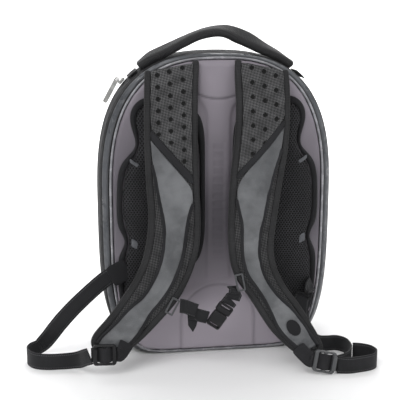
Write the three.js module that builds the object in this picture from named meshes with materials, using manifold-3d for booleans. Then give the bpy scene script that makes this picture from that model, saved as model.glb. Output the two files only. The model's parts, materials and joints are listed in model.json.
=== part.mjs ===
// Moulded motorcycle backpack, standing on its base with the harness side towards -Y.
// Millimetres, +Z up, +X to the right as seen from the harness side.
// Bag coordinates have y = 0 at the face of the back panel; the finished group is moved
// back so that the origin lies on the flat base of the shell.
import * as THREE from 'three';
import { mergeVertices } from 'three/addons/utils/BufferGeometryUtils.js';
import Module from 'manifold-3d';

const wasm = await Module();
wasm.setup();

// Body outline
const BODY_WIDTH = 360;
const BODY_HEIGHT = 464;
const BODY_DEPTH = 180;
const WAIST_HEIGHT = 245;   // height of the widest line
const BASE_SINK = 25;       // how far the outline runs on below the floor before it is cut flat
const BASE_BLEND = 5;       // softness of the corner between the side and the flat base
const BASE_TRIM = 0.15;
const TOP_ROUND = 2.7;      // exponents of the superellipse above and below the waist
const BASE_ROUND = 4;
const ORIGIN_DEPTH = 80;    // from the panel face to the origin
const RING_STEPS = 56;

// Bands round the body, by depth behind the panel face
const SHELL_WALL = 3;
const BAND_START = 3.6;
const BAND_END = 20;
const GUSSET_END = 48;
const ZIP_END = 60;
const GUSSET_WALL = 3;
const COIL_WIDTH = 4;
const COIL_RISE = 0.9;
const GAP = 0.3;
const CORE_CLEARANCE = 0.7;     // between a strap's core and its binding
const END_GROWTH = 0.7;         // what each of the last two stations adds to that, where the strap's edge bends

// Back panel
const PANEL_INSET = 20.5;       // from the widest outline to the panel edge, at the side
const PANEL_INSET_TOP = 10.5;
const PANEL_LIFT = 5.5;
const PANEL_DEPTH = 8;
const PANEL_EDGE = 3;
const PIPING_RADIUS = 1.7;
const SPINE_RELIEF = 2.4;
const SPINE_HALF = 17;
const SPINE_LOW = 120;
const SPINE_TOP_GAP = 7.5;      // from the panel's upper edge down to the head cushion
const HEAD_HALF = 30;
const HEAD_HEIGHT = 61;
const LUMBAR_HALF = 56;
const LUMBAR_LOW = 8;
const LUMBAR_HIGH = 113;
const LUMBAR_RELIEF = 1.6;

// Mesh pads on the panel
const PAD_HEIGHT = 9.5;
const PAD_CROWN = 11;           // how far in from its edge a pad is still rising
const RIM_WIDTH = 8.7;
const RIM_HEIGHT = 6.5;
const STRIP_THICKNESS = 1.1;
const UPPER_STRIP_WIDTH = 5;
const LOWER_STRIP_WIDTH = 12;

// Shoulder straps
const STRAP_THICKNESS = 12;
const STRAP_SEAT = 0.6;         // clearance to the panel where the strap is sewn on
const STRAP_STEPS = 20;
const CORE_START = 0.004;       // the core runs from here to the last step but one
const STRAP_CROWN = 1.5;
const BINDING_WIDTH = 8;
const STRAP_STAND_OFF = 30;     // strap face in front of the panel where it hangs parallel
const STRAP_SWING = { left: 36, right: 68 };    // how much further out a strap swings at the floor
const SWING_HEIGHT = 300;       // below this height the strap swings out
const SWING_POWER = 1.6;
const SHOULDER_TOP = 6;         // height over the body at which the strap would meet the panel
const SHOULDER_LENGTH = 130;    // stretch below that over which the strap closes in
const LAYER = 1.2;              // spacer mesh and ribbon on the strap face

// Hardware and webbing
const WEBBING_WIDTH = 25;
const WEBBING_THICKNESS = 1.6;
const CHEST_WIDTH = 21;
const LOCK_LENGTH = 34;
const LOCK_HEIGHT = 32;
const LOCK_THICKNESS = 6;
const LOCK_BAR = 5;
const LOCK_SLOT_HEIGHT = 26;
const FLOOR_GAP = 0.4;          // under webbing that lies on its edge
const CLIP_LENGTH = 26;
const CLIP_WIDTH = 13;
const CLIP_BAR = 2.6;
const BUCKLE_WIDTH = 22;
const BUCKLE_LENGTH = 25;
const BUCKLE_THICKNESS = 9;
const TONGUE_LENGTH = 14;
const TONGUE_REACH = 10;
const TONGUE_CLEARANCE = 0.4;
const LABEL_LENGTH = 26;
const LABEL_WIDTH = 19;
const LABEL_THICKNESS = 1;

// Handle
const HANDLE_SPAN = 226;
const HANDLE_WIDTH = 26;
const HANDLE_THICKNESS = 8;
const HANDLE_RISE = 29;
const HANDLE_DEPTH = 34;

// Zip hardware
const SLIDER_ANGLE = 128.6;     // degrees round the outline from +X
const SLIDER_LENGTH = 12;
const SLIDER_WIDTH = 10;
const SLIDER_HEIGHT = 4.5;
const BAIL_HEIGHT = 5.2;
const BAIL_WIRE = 1.6;
const BAIL_INSIDE = 6;
const PULLER_LENGTH = 43;
const PULLER_WIDTH = 7;
const PULLER_THICKNESS = 2;
const PULLER_EYE = 1.7;         // radius of the eye
const PULLER_EYE_INSET = 3.5;
const PULLER_SPREAD = 11.8;     // degrees from the zip's run to the puller, so that it hangs clear
const GARAGE_ANGLE = 123.7;
const GARAGE_LENGTH = 16.5;
const TAB_ANGLE = 55;
const TAB_THICKNESS = 3.2;

// Sewn tabs from the strap ends to the ladder locks
const TAB_RISE = 4.5;           // over the strap's face where it is sewn on
const TAB_KNEE = 5;             // last straight stretch in front of the lock
const TAB_GAP = 2;              // from the tab's end to the lock

// Steps for moving an outline inwards, and the bow that keeps flat caps in shape
const INSET_STEP = 1.5;
const INSET_EASE = 0.2;
const CAP_BOW = 1e-6;

const colours = {
  shell: 0x26272a, satin: 0x5d6066, black: 0x1c1c1e, panel: 0x7a7380, piping: 0x9a9ba0,
  mesh: 0x1a1a1c, spacer: 0x3c3e42, ribbon: 0x44474c, plastic: 0x202124, greyPlastic: 0x5b5e62,
  metal: 0xb9b8b4, webbing: 0x202125,
};

const bag = new THREE.Group();

function addMesh(name, geometry, colour, roughness = 0.8, metalness = 0) {
  const material = new THREE.MeshStandardMaterial({ color: colour, roughness, metalness });
  const mesh = new THREE.Mesh(geometry, material);
  mesh.name = name;
  bag.add(mesh);
  return mesh;
}

// Geometry helpers

function vec(x, y, z) {
  return new THREE.Vector3(x, y, z);
}

function geometryFrom(points, faces) {
  const geometry = new THREE.BufferGeometry();
  geometry.setAttribute('position', new THREE.Float32BufferAttribute(points.flatMap((p) => [p.x, p.y, p.z]), 3));
  let volume = 0;
  for (const [a, b, c] of faces) {
    volume += points[a].dot(new THREE.Vector3().crossVectors(points[b], points[c]));
  }
  geometry.setIndex((volume < 0 ? faces.map(([a, b, c]) => [a, c, b]) : faces).flat());
  return geometry;
}

// Skin through sections of equal length. A closed skin joins its last section to its first.
function loft(sections, closed = false) {
  const count = sections[0].length;
  const points = sections.flat();
  const faces = [];
  const last = closed ? sections.length : sections.length - 1;
  for (let i = 0; i < last; i += 1) {
    const here = i * count;
    const there = ((i + 1) % sections.length) * count;
    for (let j = 0; j < count; j += 1) {
      const k = (j + 1) % count;
      faces.push([here + j, here + k, there + k], [here + j, there + k, there + j]);
    }
  }
  if (!closed) {
    addCap(points, faces, 0, count, false);
    addCap(points, faces, points.length - count, count, true);
  }
  return geometryFrom(points, faces);
}

// Cap of one section, triangulated in the plane that fits it best. The plane is bowed a little,
// so that points in one line all stay corners.
function addCap(points, faces, start, count, flip) {
  const ring = points.slice(start, start + count);
  const centre = ring.reduce((sum, p) => sum.add(p), vec(0, 0, 0)).divideScalar(count);
  const normal = vec(0, 0, 0);
  ring.forEach((p, j) => {
    const q = ring[(j + 1) % count];
    normal.add(new THREE.Vector3().crossVectors(p.clone().sub(centre), q.clone().sub(centre)));
  });
  normal.normalize();
  const side = ring[0].clone().sub(centre);
  side.addScaledVector(normal, -side.dot(normal)).normalize();
  const up = new THREE.Vector3().crossVectors(normal, side);
  const flat = ring.map((p) => {
    const d = p.clone().sub(centre);
    const [a, b] = [d.dot(side), d.dot(up)];
    return new THREE.Vector2(a + CAP_BOW * b * b, b + CAP_BOW * a * a);
  });
  for (const [a, b, c] of THREE.ShapeUtils.triangulateShape(flat, [])) {
    faces.push(flip ? [start + a, start + b, start + c] : [start + a, start + c, start + b]);
  }
}

// Closed slab between two height fields over one grid: at(row, column, top) gives each corner.
function gridSlab(rows, columns, at) {
  const points = [];
  const faces = [];
  const index = (i, j, top) => (top ? (rows + 1) * (columns + 1) : 0) + i * (columns + 1) + j;
  for (const top of [false, true]) {
    for (let i = 0; i <= rows; i += 1) {
      for (let j = 0; j <= columns; j += 1) points.push(at(i / rows, j / columns, top));
    }
  }
  for (let i = 0; i < rows; i += 1) {
    for (let j = 0; j < columns; j += 1) {
      for (const top of [false, true]) {
        const [a, b, c, d] = [index(i, j, top), index(i, j + 1, top), index(i + 1, j + 1, top), index(i + 1, j, top)];
        faces.push(top ? [a, b, c] : [a, c, b], top ? [a, c, d] : [a, d, c]);
      }
    }
  }
  const wall = (p, q) => faces.push(
    [index(...p, true), index(...q, false), index(...q, true)],
    [index(...p, true), index(...p, false), index(...q, false)],
  );
  for (let j = 0; j < columns; j += 1) {
    wall([0, j], [0, j + 1]);
    wall([rows, j + 1], [rows, j]);
  }
  for (let i = 0; i < rows; i += 1) {
    wall([i + 1, 0], [i, 0]);
    wall([i, columns], [i + 1, columns]);
  }
  return geometryFrom(points, faces);
}

function toManifold(geometry) {
  const bare = geometry.clone();
  bare.deleteAttribute('normal');
  bare.deleteAttribute('uv');
  const merged = mergeVertices(bare, 1e-4);
  return new wasm.Manifold(new wasm.Mesh({
    numProp: 3,
    vertProperties: new Float32Array(merged.getAttribute('position').array),
    triVerts: new Uint32Array(merged.getIndex().array),
  }));
}

function fromManifold(solid) {
  const mesh = solid.getMesh();
  const geometry = new THREE.BufferGeometry();
  geometry.setAttribute('position', new THREE.BufferAttribute(new Float32Array(mesh.vertProperties), 3));
  geometry.setIndex(Array.from(mesh.triVerts));
  return geometry;
}

function join(first, ...others) {
  return fromManifold(others.reduce((sum, next) => sum.add(toManifold(next)), toManifold(first)));
}

function cut(first, ...others) {
  return fromManifold(others.reduce((rest, next) => rest.subtract(toManifold(next)), toManifold(first)));
}

function box(width, depth, height, x = 0, y = 0, z = 0) {
  return new THREE.BoxGeometry(width, depth, height).translate(x, y, z);
}

function roundedRectangle(width, height, radius) {
  const shape = new THREE.Shape();
  const [x, y] = [width / 2, height / 2];
  shape.moveTo(-x + radius, -y);
  shape.lineTo(x - radius, -y);
  shape.absarc(x - radius, -y + radius, radius, -Math.PI / 2, 0, false);
  shape.lineTo(x, y - radius);
  shape.absarc(x - radius, y - radius, radius, 0, Math.PI / 2, false);
  shape.lineTo(-x + radius, y);
  shape.absarc(-x + radius, y - radius, radius, Math.PI / 2, Math.PI, false);
  shape.lineTo(-x, -y + radius);
  shape.absarc(-x + radius, -y + radius, radius, Math.PI, Math.PI * 1.5, false);
  return shape;
}

// Plate in the local XY plane, centred in thickness.
function plate(shape, thickness, bevel = 0, curveSegments = 3) {
  const geometry = new THREE.ExtrudeGeometry(shape, {
    depth: thickness - 2 * bevel, bevelEnabled: bevel > 0, bevelThickness: bevel, bevelSize: bevel,
    bevelOffset: -bevel, bevelSegments: 1, curveSegments,
  });
  return geometry.translate(0, 0, bevel - thickness / 2);
}

// Puts a geometry made at the origin into a frame given by its origin and two axes.
function placed(geometry, origin, along, across) {
  const x = along.clone().normalize();
  const z = new THREE.Vector3().crossVectors(x, across).normalize();
  const y = new THREE.Vector3().crossVectors(z, x);
  return geometry.applyMatrix4(new THREE.Matrix4().makeBasis(x, y, z).setPosition(origin));
}

// Body outline

function outlinePoint(angle, insetSide = 0, insetTop = 0, lift = 0, scale = 1) {
  const [c, s] = [Math.cos(angle), Math.sin(angle)];
  const round = s >= 0 ? TOP_ROUND : BASE_ROUND;
  const half = (BODY_WIDTH / 2 - insetSide) * scale;
  const rise = s >= 0 ? BODY_HEIGHT - WAIST_HEIGHT : WAIST_HEIGHT + BASE_SINK;
  const reach = (rise - insetTop) * scale;
  const radius = ((Math.abs(c) / half) ** round + (Math.abs(s) / reach) ** round) ** (-1 / round);
  const above = WAIST_HEIGHT + radius * s - lift;
  const eased = BASE_BLEND * Math.log(1 + Math.exp(above / BASE_BLEND)) - BASE_TRIM * Math.exp(-above / (4 * BASE_BLEND));
  return { x: radius * c, z: lift + Math.max(0, eased) };
}

function ringAngles(steps = RING_STEPS) {
  return Array.from({ length: steps }, (_, i) => (i / steps) * Math.PI * 2);
}

function outlineRing(row) {
  return ringAngles().map((angle) => {
    const p = outlinePoint(angle, row.side, row.top, row.lift, row.scale ?? 1);
    return vec(p.x, row.depth, p.z);
  });
}

// Closed band round the body from a section whose rows hold depth, side inset, top inset and lift.
function bandRound(rows) {
  const rings = rows.map(([depth, side, top, lift]) => outlineRing({ depth, side, top, lift }));
  return loft(ringAngles().map((_, i) => rings.map((ring) => ring[i])), true);
}

// Height of the body over its centre line at a distance x from the middle.
function bodyTop(x) {
  const share = Math.min(1, Math.abs(x) / (BODY_WIDTH / 2));
  return WAIST_HEIGHT + (BODY_HEIGHT - WAIST_HEIGHT) * (1 - share ** TOP_ROUND) ** (1 / TOP_ROUND);
}

function addBody() {
  // depth share behind the zip, share of the full outline
  const dome = [
    [0, 1], [0.15, 0.997], [0.35, 0.98], [0.55, 0.94], [0.7, 0.88], [0.81, 0.8],
    [0.88, 0.72], [0.92, 0.645], [0.955, 0.62], [0.985, 0.555], [1, 0.42],
  ];
  const length = BODY_DEPTH - ZIP_END;
  const outer = dome.map(([d, scale]) => outlineRing({ depth: ZIP_END + d * length, side: 0, top: 0, lift: 0, scale }));
  const inner = dome.map(([d, scale]) => outlineRing({
    depth: ZIP_END + d * (length - SHELL_WALL), side: SHELL_WALL, top: SHELL_WALL, lift: SHELL_WALL, scale,
  }));
  addMesh('front_shell', loft([...inner.reverse(), ...outer]), colours.shell, 0.55);

  const [w, coil] = [GUSSET_WALL, (GUSSET_END + ZIP_END) / 2];
  const zipRows = [
    [GUSSET_END + GAP, 0.8, 0.5, 0.3], [coil - COIL_WIDTH / 2, 0.6, 0.3, 0.3],
    [coil - COIL_WIDTH / 4, 0.6 - COIL_RISE, 0.3 - COIL_RISE, 0.3], [coil + COIL_WIDTH / 4, 0.6 - COIL_RISE, 0.3 - COIL_RISE, 0.3],
    [coil + COIL_WIDTH / 2, 0.6, 0.3, 0.3], [ZIP_END - GAP, 0.4, 0.2, 0.3],
    [ZIP_END - GAP, w, w, w], [GUSSET_END + GAP, w, w, w],
  ];
  addMesh('zip_chain', bandRound(zipRows), colours.black, 0.7);
  addMesh('gusset', bandRound([
    [BAND_END + GAP, 2.6, 1.3, 0.3], [30, 1.6, 0.8, 0.3], [GUSSET_END, 0.8, 0.5, 0.3],
    [GUSSET_END, w + 0.8, w + 0.5, w], [BAND_END + GAP, w + 2.6, w + 1.3, w],
  ]), colours.black, 0.85);
  addMesh('gusset_band', bandRound([
    [BAND_START, 16.4, 6.4, 1.4], [6, 11.6, 4.7, 0.9], [8, 10.2, 4.2, 0.7], [9, 8.6, 3.6, 0.6],
    [14, 4.8, 2.2, 0.5], [BAND_END, 2.5, 1.2, 0.3],
    [BAND_END, 5.8, 4.4, 3.4], [12, 11.5, 7.4, 4], [6, 15.4, 8.4, 5],
  ]), colours.satin, 0.45);
}

// Panel with its piping, spine, head cushion and lumbar field

function spineShape() {
  const shape = new THREE.Shape();
  const top = BODY_HEIGHT - PANEL_INSET_TOP - SPINE_TOP_GAP;
  const headLow = top - HEAD_HEIGHT;
  const shoulder = (HEAD_HALF - SPINE_HALF) * 1.4;
  shape.moveTo(-SPINE_HALF, SPINE_LOW);
  shape.lineTo(SPINE_HALF, SPINE_LOW);
  shape.lineTo(SPINE_HALF, headLow - shoulder);
  shape.quadraticCurveTo(SPINE_HALF, headLow, HEAD_HALF, headLow + shoulder / 2);
  shape.lineTo(HEAD_HALF, top);
  shape.lineTo(-HEAD_HALF, top);
  shape.lineTo(-HEAD_HALF, headLow + shoulder / 2);
  shape.quadraticCurveTo(-SPINE_HALF, headLow, -SPINE_HALF, headLow - shoulder);
  return shape;
}

function lumbarShape() {
  const shape = new THREE.Shape();
  const spring = LUMBAR_HIGH - LUMBAR_HALF * 0.5;
  shape.moveTo(-LUMBAR_HALF, LUMBAR_LOW);
  shape.lineTo(LUMBAR_HALF, LUMBAR_LOW);
  shape.lineTo(LUMBAR_HALF, spring);
  shape.bezierCurveTo(LUMBAR_HALF, LUMBAR_HIGH, LUMBAR_HALF / 2, LUMBAR_HIGH, 0, LUMBAR_HIGH);
  shape.bezierCurveTo(-LUMBAR_HALF / 2, LUMBAR_HIGH, -LUMBAR_HALF, LUMBAR_HIGH, -LUMBAR_HALF, spring);
  return shape;
}

// Raised field on the panel face, rooted in the plate.
function relief(shape, height) {
  const root = PANEL_EDGE;
  const field = plate(shape, height + root, 0.8, 6);
  return field.rotateX(Math.PI / 2).translate(0, (root - height) / 2, 0);
}

function addPanel() {
  const plateRows = [
    { depth: PANEL_DEPTH, side: PANEL_INSET + 1.5, top: PANEL_INSET_TOP + 1.5, lift: PANEL_LIFT + 1.5 },
    { depth: PANEL_EDGE, side: PANEL_INSET, top: PANEL_INSET_TOP, lift: PANEL_LIFT },
    { depth: 1, side: PANEL_INSET + 1, top: PANEL_INSET_TOP + 1, lift: PANEL_LIFT + 1 },
    { depth: 0, side: PANEL_INSET + 4, top: PANEL_INSET_TOP + 4, lift: PANEL_LIFT + 4 },
  ];
  const panel = join(loft(plateRows.map(outlineRing)), relief(spineShape(), SPINE_RELIEF), relief(lumbarShape(), LUMBAR_RELIEF));
  addMesh('back_panel', panel, colours.panel, 0.6);

  const seat = { depth: 2, side: PANEL_INSET - 2, top: PANEL_INSET_TOP - 2, lift: PANEL_LIFT - 2 };
  const sides = 6;
  const piping = Array.from({ length: sides }, (_, i) => {
    const turn = (i / sides) * Math.PI * 2;
    const [out, back] = [PIPING_RADIUS * Math.cos(turn), PIPING_RADIUS * Math.sin(turn)];
    return [seat.depth + back, seat.side - out, seat.top - out, seat.lift - out];
  });
  addMesh('panel_piping', bandRound(piping), colours.piping, 0.35);
}

// Pads, on the left as seen; the right one is its mirror image.
// Each row is a point of the outline: share of half the width, share of the height.
const padOutline = [
  [-0.617, 0.86], [-0.683, 0.843], [-0.722, 0.817], [-0.728, 0.786], [-0.708, 0.755], [-0.683, 0.723],
  [-0.692, 0.698], [-0.75, 0.675], [-0.804, 0.652], [-0.833, 0.618], [-0.844, 0.575], [-0.85, 0.52],
  [-0.85, 0.468], [-0.836, 0.438], [-0.796, 0.412], [-0.786, 0.392], [-0.815, 0.366], [-0.85, 0.335],
  [-0.852, 0.28], [-0.845, 0.22], [-0.83, 0.16], [-0.778, 0.11], [-0.69, 0.094], [-0.58, 0.118],
  [-0.45, 0.172], [-0.37, 0.235], [-0.3, 0.288], [-0.2, 0.308], [-0.128, 0.36], [-0.116, 0.45],
  [-0.116, 0.56], [-0.116, 0.67], [-0.12, 0.755], [-0.165, 0.81], [-0.26, 0.835], [-0.38, 0.85],
  [-0.5, 0.862],
];

function padPoints(side) {
  const curve = new THREE.CatmullRomCurve3(
    padOutline.map(([x, z]) => vec(side * -x * BODY_WIDTH / 2, 0, z * BODY_HEIGHT)), true,
  );
  return curve.getPoints(44).slice(0, -1);
}

// Outline moved inwards by a distance, at a depth. It goes in small steps and is eased a
// little at each, so that tight corners round off and never cross.
function insetStep(points, distance) {
  const count = points.length;
  let area = 0;
  points.forEach((p, i) => {
    const q = points[(i + 1) % count];
    area += p.x * q.z - q.x * p.z;
  });
  const turn = Math.sign(area);
  const ease = (INSET_EASE * distance) / INSET_STEP;
  return points.map((p, i) => {
    const before = points[(i + count - 1) % count];
    const after = points[(i + 1) % count];
    const along = after.clone().sub(before).normalize();
    const middle = before.clone().add(after).multiplyScalar(0.5);
    const moved = vec(p.x - turn * along.z * distance, p.y, p.z + turn * along.x * distance);
    return moved.lerp(middle, ease);
  });
}

function inset(points, distance, depth) {
  let moved = points;
  for (let left = distance; left > 0; left -= INSET_STEP) moved = insetStep(moved, Math.min(left, INSET_STEP));
  return moved.map((p) => vec(p.x, depth, p.z));
}

function addPads() {
  for (const [name, side] of [['left', -1], ['right', 1]]) {
    const edge = padPoints(side);
    const rimRows = [
      [0, -GAP], [0.5, -RIM_HEIGHT * 0.6], [RIM_WIDTH * 0.4, -RIM_HEIGHT], [RIM_WIDTH * 0.8, -RIM_HEIGHT * 0.92],
      [RIM_WIDTH, -RIM_HEIGHT * 0.55], [RIM_WIDTH, -GAP],
    ].map(([distance, depth]) => inset(edge, distance, depth));
    addMesh(`pad_rim_${name}`, loft(edge.map((_, i) => rimRows.map((row) => row[i])), true), colours.black, 0.6);
    const start = RIM_WIDTH + GAP;
    addMesh(`back_pad_${name}`, loft([
      inset(edge, start, -GAP), inset(edge, start, -PAD_HEIGHT * 0.5),
      inset(edge, start + PAD_CROWN * 0.35, -PAD_HEIGHT * 0.85), inset(edge, start + PAD_CROWN, -PAD_HEIGHT),
    ]), colours.mesh, 0.95);
    addStrips(name, side);
  }
}

// Satin strips across each pad. Rows: share of half the width, share of the height,
// share of the pad's height.
function addStrips(name, side) {
  const strips = {
    upper: { width: UPPER_STRIP_WIDTH, rows: [[-0.735, 0.665, 0.9], [-0.68, 0.65, 1], [-0.5, 0.62, 1], [-0.3, 0.6, 1]] },
    lower: { width: LOWER_STRIP_WIDTH, rows: [[-0.735, 0.397, 1], [-0.69, 0.388, 1], [-0.5, 0.352, 1], [-0.3, 0.33, 1]] },
  };
  for (const [which, { width, rows }] of Object.entries(strips)) {
    const line = rows.map(([x, z, h]) => vec(side * -x * BODY_WIDTH / 2, -(h * PAD_HEIGHT + GAP + 0.1), z * BODY_HEIGHT));
    const curve = new THREE.CatmullRomCurve3(line);
    addMesh(`pad_strip_${which}_${name}`, gridSlab(8, 1, (t, a, top) => {
      const p = curve.getPoint(t);
      return vec(p.x, p.y - (top ? STRIP_THICKNESS : 0), p.z + (a - 0.5) * width);
    }), colours.satin, 0.45);
  }
}

// Shoulder straps. Rows run from the shoulder down:
// outer edge x, outer edge z, inner edge x, inner edge z, as shares of half the width and the height.
const strapEdges = {
  left: [
    [-0.606, 0.944, -0.172, 0.972], [-0.611, 0.901, -0.183, 0.922], [-0.617, 0.851, -0.194, 0.858],
    [-0.622, 0.752, -0.2, 0.752], [-0.617, 0.647, -0.194, 0.647], [-0.606, 0.55, -0.183, 0.55],
    [-0.594, 0.496, -0.178, 0.487], [-0.611, 0.429, -0.183, 0.41], [-0.65, 0.356, -0.239, 0.323],
    [-0.728, 0.293, -0.367, 0.226], [-0.817, 0.246, -0.522, 0.164], [-0.939, 0.181, -0.656, 0.112],
    [-1.039, 0.142, -0.772, 0.078], [-1.092, 0.114, -0.868, 0.058], [-1.089, 0.09, -0.955, 0.06],
  ],
  right: [
    [0.556, 0.942, 0.128, 0.974], [0.561, 0.897, 0.122, 0.918], [0.561, 0.851, 0.128, 0.853],
    [0.556, 0.78, 0.122, 0.772], [0.544, 0.688, 0.1, 0.685], [0.511, 0.614, 0.078, 0.606],
    [0.467, 0.509, 0.061, 0.517], [0.428, 0.422, 0.05, 0.431], [0.417, 0.371, 0.061, 0.356],
    [0.444, 0.315, 0.094, 0.297], [0.522, 0.256, 0.233, 0.224], [0.622, 0.207, 0.344, 0.147],
    [0.711, 0.147, 0.456, 0.099], [0.794, 0.09, 0.594, 0.052], [0.806, 0.066, 0.689, 0.044],
  ],
};

function strapReach(height, swing) {
  const rising = Math.max(0, 1 - (BODY_HEIGHT + SHOULDER_TOP - height) / SHOULDER_LENGTH);
  const falling = Math.max(0, 1 - height / SWING_HEIGHT);
  return STRAP_STAND_OFF * (1 - rising ** 2) + swing * falling ** SWING_POWER;
}

// Strap surface: at(t, across, height) gives a point, with t from the shoulder to the end,
// across from the outer edge to the inner one and height out of the face.
function strapSurface(name) {
  const swing = STRAP_SWING[name];
  const edge = (column) => new THREE.CatmullRomCurve3(strapEdges[name].map((row) => {
    const [x, z] = [row[column] * BODY_WIDTH / 2, row[column + 1] * BODY_HEIGHT];
    return vec(x, -strapReach(z, swing), z);
  }), false, 'catmullrom', 0.5);
  const [outer, inner] = [edge(0), edge(2)];
  const frame = (t) => {
    const [o, i] = [outer.getPoint(t), inner.getPoint(t)];
    const across = i.clone().sub(o);
    const width = across.length();
    across.normalize();
    const [low, high] = [Math.max(0, t - 0.01), Math.min(1, t + 0.01)];
    const along = outer.getPoint(high).add(inner.getPoint(high)).sub(outer.getPoint(low)).sub(inner.getPoint(low)).normalize();
    const face = new THREE.Vector3().crossVectors(along, across).normalize();
    if (face.y > 0) face.negate();
    // share of the full thickness that fits between the strap's face and the panel
    const raised = Math.abs(i.x) < HEAD_HALF ? SPINE_RELIEF : 0;
    const fill = Math.min(1, (-Math.max(o.y, i.y) - raised - STRAP_SEAT) / STRAP_THICKNESS);
    // slant of the section against each edge
    const slant = [outer, inner].map((curve) => Math.sqrt(1 - across.dot(curve.getTangent(t)) ** 2));
    return { origin: o, across, along, face, width, fill, slant };
  };
  const at = (t, a, h) => {
    const f = frame(t);
    return f.origin.addScaledVector(f.across, a * f.width).addScaledVector(f.face, h < 0 ? h * f.fill : h);
  };
  return { frame, at };
}

function crown(a) {
  return STRAP_CROWN * (1 - (2 * a - 1) ** 2);
}

// Limits across the strap of what lies between its two bindings
function betweenBindings(frame, clearance) {
  const [outer, inner] = frame.slant.map((slant) => (BINDING_WIDTH + clearance) / (frame.width * slant));
  return [outer, 1 - inner];
}

function strapCore(surface) {
  const sections = [];
  for (let i = 0; i < STRAP_STEPS; i += 1) {
    const t = Math.max(CORE_START, i / STRAP_STEPS);
    const clearance = CORE_CLEARANCE + END_GROWTH * Math.max(0, i - (STRAP_STEPS - 3));
    const [low, high] = betweenBindings(surface.frame(t), clearance);
    const spread = [0, 0.12, 0.5, 0.88, 1].map((a) => low + a * (high - low));
    const front = spread.map((a, k) => surface.at(t, a, crown(a) - (k % 4 === 0 ? 1 : 0)));
    const back = spread.map((a, k) => surface.at(t, a, -STRAP_THICKNESS + (k % 4 === 0 ? 2.5 : 0))).reverse();
    sections.push([...front, ...back]);
  }
  return loft(sections);
}

// Binding: a bar round the strap's edge, down the outer side, round the end and up the inner side.
// turn is 1 where that way round has the strap on its left, as seen from the front, and -1 on its right.
function strapBinding(surface, turn) {
  const steps = STRAP_STEPS;
  const stations = [];
  for (let i = 0; i <= steps; i += 1) stations.push({ t: i / steps, a: 0 });
  for (let i = 1; i < 4; i += 1) stations.push({ t: 1, a: i / 4, end: Math.sin((i / 4) * Math.PI) });
  for (let i = steps; i >= 0; i -= 1) stations.push({ t: i / steps, a: 1 });
  const rows = [
    [0.5, -1], [2.5, 0.4], [BINDING_WIDTH, 0.2], [BINDING_WIDTH, -9.2], [2.5, -9.6], [0.5, -7.5],
  ];
  const path = stations.map(({ t, a, end = 0 }) => {
    const f = surface.frame(t);
    return { point: surface.at(t, a, 0).addScaledVector(f.along, end * 5), face: f.face, fill: f.fill };
  });
  return loft(path.map(({ point, face, fill }, k) => {
    const [before, after] = [path[Math.max(0, k - 1)].point, path[Math.min(path.length - 1, k + 1)].point];
    const inward = new THREE.Vector3().crossVectors(face, after.clone().sub(before)).normalize().multiplyScalar(turn);
    return rows.map(([d, h]) => point.clone().addScaledVector(inward, d).addScaledVector(face, h < 0 ? h * fill : h));
  }));
}

// Layer on the strap face between two lines across it.
// from and to hold t at the outer and inner edge; sides(t) gives the two limits across.
function strapLayer(surface, from, to, sides, base, rows = 12) {
  return gridSlab(rows, 4, (r, c, top) => {
    const mix = (pair) => pair[0] + (pair[1] - pair[0]) * c;
    const t = mix(from) + (mix(to) - mix(from)) * r;
    const [outer, inner] = sides(t);
    const a = outer + (inner - outer) * c;
    return surface.at(t, a, crown(a) + base + (top ? LAYER : 0));
  });
}

// Where mesh ends and ribbon starts, t at the outer and at the inner edge
const seam = { left: [0.2, 0.3], right: [0.2, 0.335] };

// Limits of the ribbon across the strap. Rows: t, outer limit, inner limit.
const ribbonLimits = [
  [0.2, 0.13, 0.87], [0.4, 0.17, 0.84], [0.5, 0.27, 0.78], [0.7, 0.3, 0.76], [0.85, 0.24, 0.8], [0.95, 0.26, 0.74],
];

function ribbonSides(t) {
  const k = Math.max(1, ribbonLimits.findIndex(([row]) => row >= t));
  const [low, high] = [ribbonLimits[k - 1], ribbonLimits[k]];
  const share = Math.min(1, Math.max(0, (t - low[0]) / (high[0] - low[0])));
  return [1, 2].map((c) => low[c] + (high[c] - low[c]) * share);
}

const straps = { left: strapSurface('left'), right: strapSurface('right') };

function addStraps() {
  for (const [name, surface] of Object.entries(straps)) {
    const full = (t) => betweenBindings(surface.frame(t), 1);
    const [seamOuter, seamInner] = seam[name];
    addMesh(`shoulder_strap_${name}`, strapCore(surface), colours.mesh, 0.95);
    addMesh(`strap_binding_${name}`, strapBinding(surface, name === 'left' ? 1 : -1), colours.black, 0.85);
    addMesh(`strap_mesh_${name}`, strapLayer(surface, [0.01, 0.01], [seamOuter, seamInner], full, GAP), colours.spacer, 0.95);
    addMesh(`strap_seam_${name}`, strapLayer(
      surface, [seamOuter + 0.006, seamInner + 0.006], [seamOuter + 0.024, seamInner + 0.024], full, GAP, 1,
    ), colours.black, 0.8);
    addMesh(`strap_cover_${name}`, strapLayer(
      surface, [seamOuter + 0.03, seamInner + 0.03], [0.93, 0.93], ribbonSides, GAP, 14,
    ), colours.ribbon, 0.4);
  }
}

// Webbing as a ribbon. Rows: centre x, y, z and the width direction's x, y, z.
function ribbon(rows, width, thickness, steps) {
  const centre = new THREE.CatmullRomCurve3(rows.map((r) => vec(r[0], r[1], r[2])), false, 'catmullrom', 0.5);
  const up = new THREE.CatmullRomCurve3(rows.map((r) => vec(r[3], r[4], r[5])), false, 'catmullrom', 0.5);
  return gridSlab(steps, 1, (t, a, top) => {
    const across = up.getPoint(t).normalize();
    const along = centre.getTangent(t);
    across.addScaledVector(along, -across.dot(along)).normalize();
    const face = new THREE.Vector3().crossVectors(along, across).normalize();
    return centre.getPoint(t).addScaledVector(across, (a - 0.5) * width).addScaledVector(face, (top ? 0.5 : -0.5) * thickness);
  });
}

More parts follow.
